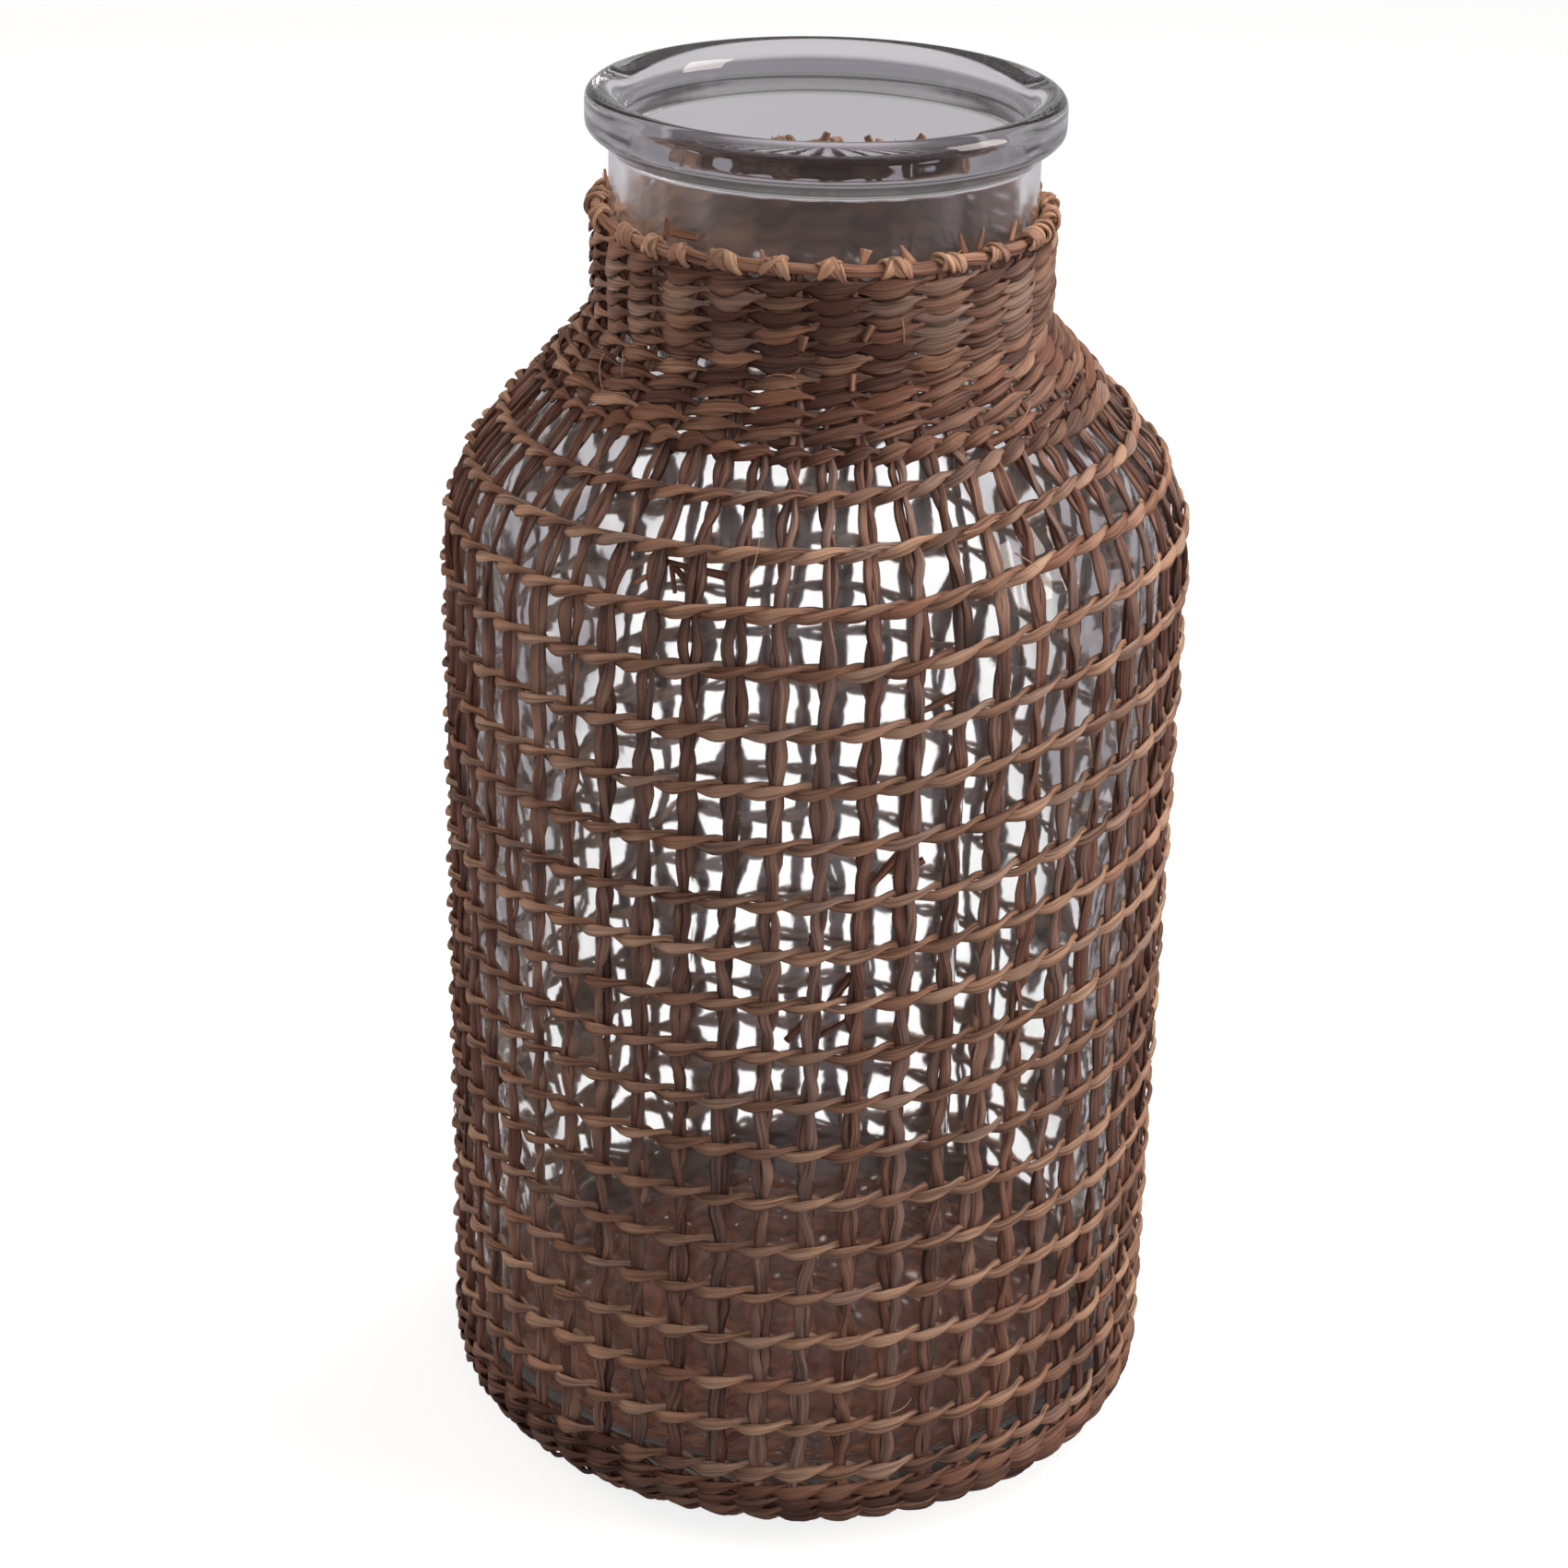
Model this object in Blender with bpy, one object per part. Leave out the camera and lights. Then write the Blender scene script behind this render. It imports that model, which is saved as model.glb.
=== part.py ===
# A thick glass jar inside a twined straw sleeve, used as a vase.
# Metres, +Z up. The origin is on the floor under the middle of the jar, and the front faces -Y.
# Every straw piece is placed by three numbers: how far along the jar's outline it lies, how deep
# in the sleeve, measured outwards from the glass, and at what angle round the jar.

from bisect import bisect_right
from collections import namedtuple
import math

import bmesh
import bpy

# Glass jar
OVERALL_HEIGHT = 0.2998
BODY_RADIUS = 0.07565
NECK_RADIUS = 0.0440
SHOULDER_BEND = 0.0352
SHOULDER_LEAN = math.radians(42.4)  # lean of the straight shoulder from upright
NECK_LENGTH = 0.0327  # straight neck, from the hollow bend up to the bead's underside
BASE_CORNER = 0.0082
BODY_WALL = 0.0038
NECK_WALL = 0.0031
FLOOR_THICKNESS = 0.0060
INNER_CORNER = 0.0090
BEAD_PROJECTION = 0.0049
BEAD_HEIGHT = 0.0090
BEAD_UNDERSIDE = 0.0025  # height of the slope from the neck out to the bead
LIP_ROUND = 0.0026

# Straw sleeve
CLEARANCE = 0.0003  # between any two pieces that touch
STAKE_THICKNESS = 0.0020
STAKE_WIDTH = 0.0036
STAKE_PAIRS = 27
FIRST_PAIR_ANGLE = math.radians(-85.5)
WEFT_THICKNESS = 0.0020
WEFT_CROWN = 0.0012  # how much narrower a weft cord is at its outer face
OPEN_WEFT_HEIGHT = 0.0037
NECK_PITCH = 0.00327  # rise of one turn in the close rows round the neck
NECK_TURNS = 10.4
OPEN_TURNS = 20.15
OPEN_START_HEIGHT = 0.0171  # height at which the first open turn leaves the close base rows
OPEN_START_ANGLE = math.radians(-140)  # at the front left
BASE_TURNS = 6
FRONT = 50 / 360  # parts of a turn from the front left on to the front
FRONT_RIGHT = 105 / 360  # and to the front right
NECK_BEND = 0.0052  # hollow bend of the straw's outer face between shoulder and neck
FLOOR_LIFT = 0.0002  # the base rows stay this much off the floor
MAT_MARGIN = 0.0014  # flat glass left outside the base mat
MAT_CHAMFER = 0.0008
BORDER_HEIGHT = 0.0031
BORDER_CHAMFER = 0.0008
KNOT_RISE = 0.0010
KNOT_SWELL = 0.0006
GLASS_COLLAR = 0.0118  # bare neck between the border and the bead's underside

# How many pieces the weft is spliced from, and how finely round things are cut
BASE_PIECES = 3
OPEN_PIECES = 20
NECK_PIECES = 4
JAR_SEGMENTS = 40
MAT_SEGMENTS = 54
CORNER_STEPS = 3
SHOULDER_STEPS = 4
FILLET_STEPS = 2
SHADE_ANGLE = math.radians(35)

# Depths in the sleeve, from the glass outwards
STAKE_IN = CLEARANCE
STAKE_OUT = STAKE_IN + STAKE_THICKNESS
WEFT_IN = STAKE_OUT + CLEARANCE
WEFT_OUT = WEFT_IN + WEFT_THICKNESS
WEFT_MIDDLE = (WEFT_IN + WEFT_OUT) / 2

GLASS_BOTTOM = WEFT_OUT + FLOOR_LIFT
NECK_FILLET = NECK_BEND + WEFT_OUT
BEAD_JUNCTION = OVERALL_HEIGHT - BEAD_HEIGHT - BEAD_UNDERSIDE
BORDER_TOP = BEAD_JUNCTION - GLASS_COLLAR
BORDER_BOTTOM = BORDER_TOP - BORDER_HEIGHT
PAIR_PITCH = 2 * math.pi / STAKE_PAIRS

# The shoulder's straight slope, and the height at which the wall begins to turn in
BENDS = SHOULDER_BEND + NECK_FILLET
SLOPE_LENGTH = ((BODY_RADIUS - NECK_RADIUS - BENDS * (1 - math.cos(SHOULDER_LEAN)))
                / math.sin(SHOULDER_LEAN))
SHOULDER_START = (BEAD_JUNCTION - NECK_LENGTH - BENDS * math.sin(SHOULDER_LEAN)
                  - SLOPE_LENGTH * math.cos(SHOULDER_LEAN))

Stretch = namedtuple("Stretch", "start radius height lean turn bend length")


def outline_stretches():
    """The glass's outer outline from the middle of its underside to the bead's underside.

    A stretch is a line, or an arc of radius bend, which is negative where the outline is hollow.
    Its length is measured along the middle of the weft, so that rows keep their true spacing.
    """
    right_angle = math.pi / 2
    pieces = [
        (-right_angle, 0, 0, BODY_RADIUS - BASE_CORNER),
        (-right_angle, right_angle, BASE_CORNER, None),
        (0, 0, 0, SHOULDER_START - GLASS_BOTTOM - BASE_CORNER),
        (0, SHOULDER_LEAN, SHOULDER_BEND, None),
        (SHOULDER_LEAN, 0, 0, SLOPE_LENGTH),
        (SHOULDER_LEAN, -SHOULDER_LEAN, -NECK_FILLET, None),
        (0, 0, 0, NECK_LENGTH),
    ]
    stretches = []
    start, radius, height = 0, 0, GLASS_BOTTOM
    for lean, turn, bend, straight in pieces:
        length = straight if bend == 0 else abs((bend + WEFT_MIDDLE) * turn)
        stretch = Stretch(start, radius, height, lean, turn, bend, length)
        stretches.append(stretch)
        radius, height, _ = point_on(stretch, length)
        start += length
    return stretches


def point_on(stretch, along):
    """Radius, height and lean of the outward normal at a distance along one stretch."""
    lean = stretch.lean + stretch.turn * along / stretch.length
    if stretch.bend == 0:
        return (stretch.radius - math.sin(lean) * along,
                stretch.height + math.cos(lean) * along, lean)
    return (stretch.radius + stretch.bend * (math.cos(lean) - math.cos(stretch.lean)),
            stretch.height + stretch.bend * (math.sin(lean) - math.sin(stretch.lean)), lean)


OUTLINE = outline_stretches()
STARTS = [stretch.start for stretch in OUTLINE]
FLAT, CORNER, WALL, SHOULDER, SLOPE, FILLET, NECK = OUTLINE


def outline_point(distance, depth=0):
    """Radius and height of the point at a distance along the outline and a depth outside it."""
    stretch = OUTLINE[max(0, bisect_right(STARTS, distance) - 1)]
    radius, height, lean = point_on(stretch, distance - stretch.start)
    return radius + depth * math.cos(lean), height + depth * math.sin(lean)


def steps_along(stretch, count):
    """Distances that cut a stretch into equal parts, its start left out and its end included."""
    return [stretch.start + stretch.length * i / count for i in range(1, count + 1)]


# Distances along the outline at which the main pieces begin and end
MAT_RADIUS = BODY_RADIUS - BASE_CORNER - MAT_MARGIN
STAKE_START = MAT_RADIUS + CLEARANCE
OPEN_START = WALL.start + OPEN_START_HEIGHT - WALL.height
BORDER_START = NECK.start + BORDER_BOTTOM - NECK.height
STAKE_END = BORDER_START - CLEARANCE
BASE_START = STAKE_START + NECK_PITCH / 2
BASE_PITCH = (OPEN_START - BASE_START) / BASE_TURNS
NECK_END = BORDER_START - NECK_PITCH / 2 - CLEARANCE / 2
OPEN_END = NECK_END - NECK_TURNS * NECK_PITCH
OPEN_PITCH = (OPEN_END - OPEN_START) / OPEN_TURNS

# The rows' hand-made unevenness by turn: how far they lie above even steps at the front, and how
# much further at the front left and at the front right
RISE = [
    (-BASE_TURNS, 0), (0, -0.0002), (1.1, -0.0002), (3.1, -0.0013), (5.1, -0.0021), (7.1, -0.0015),
    (9.1, -0.0020), (12.1, -0.0021), (13.1, -0.0010), (15.1, 0.0003), (16.1, 0.0018),
    (18.1, 0.0023), (19.14, 0.0029), (OPEN_TURNS, 0.0001), (21.15, 0.0014), (23.15, 0.0022),
    (25.15, 0.0026), (27.15, 0.0024), (29.15, 0.0017), (30.15, 0.0013), (30.3, 0.0003),
    (OPEN_TURNS + NECK_TURNS, 0),
]
LEFT_RISE = [
    (-BASE_TURNS, 0), (0, 0.0002), (3, 0.0008), (5, 0.0019), (6, 0.0016), (8, 0.0009), (10, 0),
    (13, -0.0008), (16, -0.0019), (18, -0.0008), (19, -0.0010), (20, 0.0019), (21, 0.0006),
    (23, 0), (OPEN_TURNS + NECK_TURNS, 0),
]
RIGHT_RISE = [
    (-BASE_TURNS, 0), (0, -0.0013), (3, -0.0021), (5, -0.0007), (7, -0.0002), (9, 0.0019),
    (11, 0.0037), (14, 0.0043), (16, 0.0051), (17.3, 0.0062), (18.3, 0.0062), (19.3, 0.0057),
    (20.3, 0.0014), (22.3, 0.0014), (25, -0.0007), (27, -0.0017), (29.2, -0.0014),
    (30.3, -0.0005), (OPEN_TURNS + NECK_TURNS, 0),
]


def read_table(table, turn):
    """The value at a turn, read along straight lines between the points of a table."""
    for (low, low_value), (high, high_value) in zip(table, table[1:]):
        if low <= turn <= high:
            return low_value + (high_value - low_value) * (turn - low) / (high - low)
    return 0


def softly(share):
    """0 to 1 as the share goes from 0 to 1, without a corner at either end."""
    return (1 - math.cos(math.pi * share)) / 2


def side_shares(turn):
    """How much the left and the right table count at a place round the jar."""
    past = turn % 1
    if past < FRONT:
        return softly(1 - past / FRONT), 0
    if past < FRONT_RIGHT:
        return 0, softly((past - FRONT) / (FRONT_RIGHT - FRONT))
    left = softly((past - FRONT_RIGHT) / (1 - FRONT_RIGHT))
    return left, 1 - left


def weft_angle(turn):
    return OPEN_START_ANGLE + 2 * math.pi * turn


def weft_distance(turn):
    """Distance along the outline of the weft's middle line, counted in turns from the first open one."""
    if turn < 0:
        level = OPEN_START + BASE_PITCH * turn
    elif turn <= OPEN_TURNS:
        level = OPEN_START + OPEN_PITCH * turn
    else:
        level = OPEN_END + NECK_PITCH * (turn - OPEN_TURNS)
    left, right = side_shares(turn)
    return (level + read_table(RISE, turn) + left * read_table(LEFT_RISE, turn)
            + right * read_table(RIGHT_RISE, turn))


def weft_height(turn):
    """Height of the cord: its full open height, or less where the next turns leave less room."""
    middle = weft_distance(turn)
    room = min(middle - weft_distance(turn - 1), weft_distance(turn + 1) - middle)
    return min(OPEN_WEFT_HEIGHT, room - CLEARANCE)


def around(radius, angle, height):
    return radius * math.cos(angle), radius * math.sin(angle), height


def straw_material(name, shade):
    """Dry seagrass straw; shade 0 is the darkest strand and 1 the lightest."""
    dark = (0.135, 0.070, 0.046)
    light = (0.300, 0.165, 0.095)
    colour = [low + (high - low) * shade for low, high in zip(dark, light)]
    return surface_material(name, colour, 0.72)


def surface_material(name, colour, roughness):
    material = bpy.data.materials.new(name)
    material.use_nodes = True
    shader = material.node_tree.nodes["Principled BSDF"]
    shader.inputs["Base Color"].default_value = (*colour, 1)
    shader.inputs["Roughness"].default_value = roughness
    shader.inputs["Metallic"].default_value = 0
    material.diffuse_color = (*colour, 1)
    return material


def glass_material():
    material = surface_material("jar_glass", (0.80, 0.83, 0.82), 0.04)
    shader = material.node_tree.nodes["Principled BSDF"]
    shader.inputs["Transmission Weight"].default_value = 1
    shader.inputs["IOR"].default_value = 1.52
    return material


def make_object(name, points, faces, material):
    """One closed body from its points and faces, with its faces turned outwards."""
    mesh = bpy.data.meshes.new(name)
    mesh.from_pydata(points, [], faces)
    shape = bmesh.new()
    shape.from_mesh(mesh)
    bmesh.ops.recalc_face_normals(shape, faces=shape.faces)
    shape.to_mesh(mesh)
    shape.free()
    mesh.shade_smooth()
    mesh.set_sharp_from_angle(angle=SHADE_ANGLE)
    mesh.materials.append(material)
    piece = bpy.data.objects.new(name, mesh)
    bpy.context.collection.objects.link(piece)
    return piece


def turned_body(name, profile, segments, material):
    """Turn a profile of (radius, height) about Z; its first and last points lie on the axis."""
    points = [(0, 0, profile[0][1]), (0, 0, profile[-1][1])]
    rings = profile[1:-1]
    for radius, height in rings:
        points += [around(radius, 2 * math.pi * i / segments, height) for i in range(segments)]

    def corner(ring, i):
        return 2 + ring * segments + i % segments

    faces = []
    last = len(rings) - 1
    for i in range(segments):
        faces.append((0, corner(0, i), corner(0, i + 1)))
        faces.append((1, corner(last, i + 1), corner(last, i)))
        for ring in range(last):
            faces.append((corner(ring, i), corner(ring, i + 1),
                          corner(ring + 1, i + 1), corner(ring + 1, i)))
    return make_object(name, points, faces, material)


def arc(centre, radii, first, last, steps):
    """Points on an arc or a quarter ellipse in the (radius, height) plane, both ends included."""
    angles = [first + (last - first) * i / steps for i in range(steps + 1)]
    return [(centre[0] + radii[0] * math.cos(a), centre[1] + radii[1] * math.sin(a)) for a in angles]


def jar_outer_profile():
    distances = [FLAT.length]
    distances += steps_along(CORNER, CORNER_STEPS)
    distances += steps_along(WALL, 1)
    distances += steps_along(SHOULDER, SHOULDER_STEPS)
    distances += steps_along(SLOPE, 1)
    distances += steps_along(FILLET, FILLET_STEPS)
    distances += steps_along(NECK, 1)
    return [outline_point(distance) for distance in distances]


def bead_profile():
    """The rolled rim: a slope out from the neck, an upright band and a rounded lip."""
    outer = NECK_RADIUS + BEAD_PROJECTION
    crest = outer - LIP_ROUND
    bore = NECK_RADIUS - NECK_WALL
    under = OVERALL_HEIGHT - BEAD_HEIGHT
    inner_round = crest - bore
    right_angle = math.pi / 2
    points = [(outer - LIP_ROUND / 2, under), (outer, under + LIP_ROUND / 2)]
    points += arc((crest, OVERALL_HEIGHT - LIP_ROUND), (LIP_ROUND, LIP_ROUND), 0, right_angle, 3)
    points += arc((crest, OVERALL_HEIGHT - inner_round), (inner_round, inner_round),
                  right_angle, 2 * right_angle, 3)[1:]
    return points


def jar_inner_profile():
    """The hollow's outline from the neck's bore down to the middle of the thick glass floor."""
    bore = NECK_RADIUS - NECK_WALL
    inside = BODY_RADIUS - BODY_WALL
    bend = SHOULDER_BEND - BODY_WALL
    fillet = NECK_FILLET + NECK_WALL
    drop = 1 - math.cos(SHOULDER_LEAN)
    rise = math.sin(SHOULDER_LEAN)
    slope = (inside - bore - (bend + fillet) * drop) / rise
    neck_foot = SHOULDER_START + (bend + fillet) * rise + slope * math.cos(SHOULDER_LEAN)
    floor = GLASS_BOTTOM + FLOOR_THICKNESS
    points = arc((bore + fillet, neck_foot), (fillet, fillet),
                 math.pi, math.pi + SHOULDER_LEAN, FILLET_STEPS)
    points += arc((inside - bend, SHOULDER_START), (bend, bend), SHOULDER_LEAN, 0, SHOULDER_STEPS)
    points += arc((inside - INNER_CORNER, floor + INNER_CORNER), (INNER_CORNER, INNER_CORNER),
                  0, -math.pi / 2, CORNER_STEPS)
    points.append((0, floor))
    return points


def make_glass_jar():
    profile = [(0, GLASS_BOTTOM)] + jar_outer_profile() + bead_profile() + jar_inner_profile()
    return turned_body("glass_jar", profile, JAR_SEGMENTS, glass_material())


def make_base_mat():
    """The woven disc that the jar stands on and that stands on the floor."""
    top = GLASS_BOTTOM - CLEARANCE
    rim = MAT_RADIUS - MAT_CHAMFER
    profile = [
        (0, 0),
        (rim, 0),
        (MAT_RADIUS, MAT_CHAMFER),
        (MAT_RADIUS, top - MAT_CHAMFER),
        (rim, top),
        (0, top),
    ]
    return turned_body("base_mat", profile, MAT_SEGMENTS, straw_material("base_mat_straw", 0.35))


def stake_rows():
    """Rows of (distance, sideways offsets in metres or angles) up one pair of stakes.

    Below the crotch a row has four edges, two for each stake. From the crotch up it has three,
    where the two stakes lie side by side as one.
    """
    legs = [STAKE_START, CORNER.start] if STAKE_START < CORNER.start else [STAKE_START]
    legs += steps_along(CORNER, CORNER_STEPS)
    legs += steps_along(WALL, 1)
    legs += steps_along(SHOULDER, SHOULDER_STEPS)
    joined = steps_along(SLOPE, 1) + steps_along(FILLET, FILLET_STEPS) + [STAKE_END]
    half = STAKE_WIDTH / 2
    rows = []
    for distance in legs:
        side = outline_point(distance, STAKE_IN)[0] * PAIR_PITCH / 4
        rows.append((distance, [-side - half, -side + half, side - half, side + half]))
    for distance in joined:
        rows.append((distance, [-STAKE_WIDTH, 0, STAKE_WIDTH]))
    return rows, len(legs)


def make_stake_pair(number, angle):
    """Two stakes that run up the body apart and join where they meet at the neck."""
    rows, leg_rows = stake_rows()
    points = []
    first = []
    for distance, offsets in rows:
        first.append(len(points))
        for depth in (STAKE_IN, STAKE_OUT):
            radius, height = outline_point(distance, depth)
            points += [around(radius, angle + offset / radius, height) for offset in offsets]

    def corner(row, layer, edge):
        return first[row] + layer * len(rows[row][1]) + edge

    def strip(row, low_edges, high_edges):
        """The two faces and the two open sides of one stretch of one stake."""
        (a, b), (c, d) = low_edges, high_edges
        return [[corner(row, layer, a), corner(row, layer, b),
                 corner(row + 1, layer, d), corner(row + 1, layer, c)] for layer in (0, 1)]

    def side(row, low_edge, high_edge):
        return [corner(row, 0, low_edge), corner(row, 1, low_edge),
                corner(row + 1, 1, high_edge), corner(row + 1, 0, high_edge)]

    def cap(row, a, b):
        return [corner(row, 0, a), corner(row, 0, b), corner(row, 1, b), corner(row, 1, a)]

    faces = [cap(0, 0, 1), cap(0, 2, 3), cap(len(rows) - 1, 0, 1), cap(len(rows) - 1, 1, 2)]
    for row in range(len(rows) - 1):
        if row < leg_rows - 1:
            faces += strip(row, (0, 1), (0, 1)) + strip(row, (2, 3), (2, 3))
            faces += [side(row, edge, edge) for edge in range(4)]
        elif row == leg_rows - 1:
            faces += strip(row, (0, 1), (0, 1)) + strip(row, (2, 3), (1, 2))
            faces += [side(row, 0, 0), side(row, 1, 1), side(row, 2, 1), side(row, 3, 2)]
        else:
            faces += strip(row, (0, 1), (0, 1)) + strip(row, (1, 2), (1, 2))
            faces += [side(row, 0, 0), side(row, 2, 2)]
    name = f"stake_pair_{number:02d}"
    shade = 0.25 + 0.5 * ((number * 5) % 9) / 9
    return make_object(name, points, faces, straw_material(name + "_straw", shade))


def make_weft(name, first_step, last_step, shade):
    """A length of the weft: one cord that winds round outside the stakes and rises as it goes.

    It has a corner at each pair of stakes, and its straight runs between them clear the stakes.
    """
    outset = 1 / math.cos(PAIR_PITCH / 2)
    sections = []
    for step in range(first_step, last_step + 1):
        turn = step / STAKE_PAIRS
        middle = weft_distance(turn)
        half = weft_height(turn) / 2
        crown = half - WEFT_CROWN / 2
        angle = weft_angle(turn)
        radius = outline_point(middle, WEFT_MIDDLE)[0]
        if step == first_step:
            angle += CLEARANCE / 2 / radius
        if step == last_step:
            angle -= CLEARANCE / 2 / radius
        section = []
        for offset, depth in ((-half, WEFT_IN), (half, WEFT_IN), (crown, WEFT_OUT), (-crown, WEFT_OUT)):
            radius, height = outline_point(middle + offset, depth)
            section.append(around(radius * outset, angle, height))
        sections.append(section)
    points = [point for section in sections for point in section]
    faces = [(0, 1, 2, 3), tuple(len(points) - 4 + i for i in range(4))]
    for row in range(len(sections) - 1):
        for i in range(4):
            low, high = row * 4 + i, row * 4 + (i + 1) % 4
            faces.append((low, high, high + 4, low + 4))
    return make_object(name, points, faces, straw_material(name + "_straw", shade))


def make_weft_run(prefix, first_step, last_step, pieces):
    """Splice a run of the weft from several pieces of nearly equal length."""
    for piece in range(pieces):
        start = first_step + round((last_step - first_step) * piece / pieces)
        end = first_step + round((last_step - first_step) * (piece + 1) / pieces)
        shade = 0.35 + 0.5 * ((piece * 4) % 7) / 7
        make_weft(f"{prefix}_{piece + 1:02d}", start, end, shade)


def make_border():
    """The bound top edge: a thick ring with a small knot at each pair of stakes."""
    sides = 2 * STAKE_PAIRS
    outset = 1 / math.cos(math.pi / sides)
    inner = NECK_RADIUS + STAKE_IN
    outer = NECK_RADIUS + WEFT_OUT
    points = []
    for i in range(sides):
        knot = i % 2 == 0
        edge = outer + (KNOT_SWELL if knot else 0)
        top = BORDER_TOP + (0 if knot else -KNOT_RISE)
        section = [
            (inner, BORDER_BOTTOM),
            (edge - BORDER_CHAMFER, BORDER_BOTTOM),
            (edge, BORDER_BOTTOM + BORDER_CHAMFER),
            (edge, top - BORDER_CHAMFER),
            (edge - BORDER_CHAMFER, top),
            (inner, top),
        ]
        angle = FIRST_PAIR_ANGLE + PAIR_PITCH / 2 * i
        points += [around(radius * outset, angle, height) for radius, height in section]
    faces = []
    count = len(points) // sides
    for i in range(sides):
        here, there = i * count, (i + 1) % sides * count
        for j in range(count):
            k = (j + 1) % count
            faces.append((here + j, here + k, there + k, there + j))
    return make_object("top_border", points, faces, straw_material("top_border_straw", 0.8))


def clear_scene():
    for item in list(bpy.data.objects):
        bpy.data.objects.remove(item, do_unlink=True)


def main():
    clear_scene()
    make_glass_jar()
    make_base_mat()
    for number in range(STAKE_PAIRS):
        make_stake_pair(number + 1, FIRST_PAIR_ANGLE + PAIR_PITCH * number)
    open_steps = round(OPEN_TURNS * STAKE_PAIRS)
    neck_steps = round(NECK_TURNS * STAKE_PAIRS)
    make_weft_run("base_weft", -BASE_TURNS * STAKE_PAIRS, 0, BASE_PIECES)
    make_weft_run("open_weft", 0, open_steps, OPEN_PIECES)
    make_weft_run("neck_weft", open_steps, open_steps + neck_steps, NECK_PIECES)
    make_border()


main()
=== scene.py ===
# Thick pressed-glass jar in a twined straw sleeve, used as a vase.
# Lengths are in millimetres in the dictionaries, and mm turns them to metres.

import math
from functools import partial

import bpy
import numpy as np
from mathutils import Matrix, Vector


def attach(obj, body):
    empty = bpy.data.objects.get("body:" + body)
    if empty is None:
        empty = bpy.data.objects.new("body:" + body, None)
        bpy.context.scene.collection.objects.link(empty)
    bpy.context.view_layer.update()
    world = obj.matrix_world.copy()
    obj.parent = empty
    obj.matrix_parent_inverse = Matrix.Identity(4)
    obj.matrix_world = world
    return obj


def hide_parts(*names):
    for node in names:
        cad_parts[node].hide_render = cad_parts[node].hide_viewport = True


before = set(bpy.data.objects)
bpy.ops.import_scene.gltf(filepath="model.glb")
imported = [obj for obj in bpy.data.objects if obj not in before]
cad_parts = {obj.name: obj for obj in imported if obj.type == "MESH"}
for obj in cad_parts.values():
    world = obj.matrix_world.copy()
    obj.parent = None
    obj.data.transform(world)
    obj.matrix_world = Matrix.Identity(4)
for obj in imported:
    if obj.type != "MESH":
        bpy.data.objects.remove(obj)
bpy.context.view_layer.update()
mm = 0.001
fullTurn = 2 * math.pi
runSteps = 400  # points along each run of the jar's outline

jarOutline = {
    "bodyRadius": 75.65, "neckRadius": 44.0, "baseCorner": 8.2, "shoulderBend": 35.2,
    "shoulderLean": 42.4, "neckFillet": 9.8, "neckLength": 32.7, "beadJunction": 288.3,
    "glassBottom": 4.8, "rowDepth": 3.6,  # rows are spaced along a line this far outside the glass
}


# Length of the straight slope between two bends that join a wide wall to a narrow one.
def slopeLength(wide, narrow, bends, lean):
    return (wide - narrow - bends * (1 - math.cos(lean))) / math.sin(lean)


# The outer outline from the middle of the underside up to the bead: straight runs and arcs, each
# cut finely, with the distance counted along the line rowDepth outside the glass.
def traceOutline(o):
    lean = math.radians(o["shoulderLean"])
    bends = o["shoulderBend"] + o["neckFillet"]
    slope = slopeLength(o["bodyRadius"], o["neckRadius"], bends, lean)
    start = o["beadJunction"] - o["neckLength"] - bends * math.sin(lean) - slope * math.cos(lean)
    right = math.pi / 2
    runs = [  # lean of the outward normal, turn, radius of the bend, straight length
        (-right, 0, 0, o["bodyRadius"] - o["baseCorner"]),
        (-right, right, o["baseCorner"], 0),
        (0, 0, 0, start - o["glassBottom"] - o["baseCorner"]),
        (0, lean, o["shoulderBend"], 0),
        (lean, 0, 0, slope),
        (lean, -lean, -o["neckFillet"], 0),
        (0, 0, 0, o["neckLength"]),
    ]
    columns, starts = [], []
    begin, radius, height = 0, 0, o["glassBottom"]
    part = np.linspace(0, 1, runSteps)
    for first, turn, bend, straight in runs:
        length = straight if bend == 0 else abs((bend + o["rowDepth"]) * turn)
        leans = first + turn * part
        if bend == 0:
            r = radius - math.sin(first) * length * part
            z = height + math.cos(first) * length * part
        else:
            r = radius + bend * (np.cos(leans) - math.cos(first))
            z = height + bend * (np.sin(leans) - math.sin(first))
        columns.append(np.stack([begin + length * part, r, z, leans]))
        starts.append((begin, r[0], z[0]))
        begin, radius, height = begin + length, r[-1], z[-1]
    return np.concatenate(columns, axis=1), starts


outlineTable, runStarts = traceOutline(jarOutline)
wallStart, wallFoot = runStarts[2][0], runStarts[2][2]
shoulderHeight, slopeEnd = runStarts[3][2], runStarts[5][0]
neckStart, neckFoot = runStarts[6][0], runStarts[6][2]


# Radius, height and lean at a distance along the outline and a depth outside the glass.
def onOutline(distance, depth):
    along, radii, heights, leans = outlineTable
    lean = np.interp(distance, along, leans)
    radius = np.interp(distance, along, radii) + depth * np.cos(lean)
    height = np.interp(distance, along, heights) + depth * np.sin(lean)
    return radius, height, lean


# Vectors at an angle round the jar, from their parts outwards, onwards round it and upwards.
def atAngle(angle, outward, onward, upward):
    angle, outward, onward, upward = np.broadcast_arrays(angle, outward, onward, upward)
    return np.stack([outward * np.cos(angle) - onward * np.sin(angle),
                     outward * np.sin(angle) + onward * np.cos(angle), upward], axis=-1)


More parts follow.
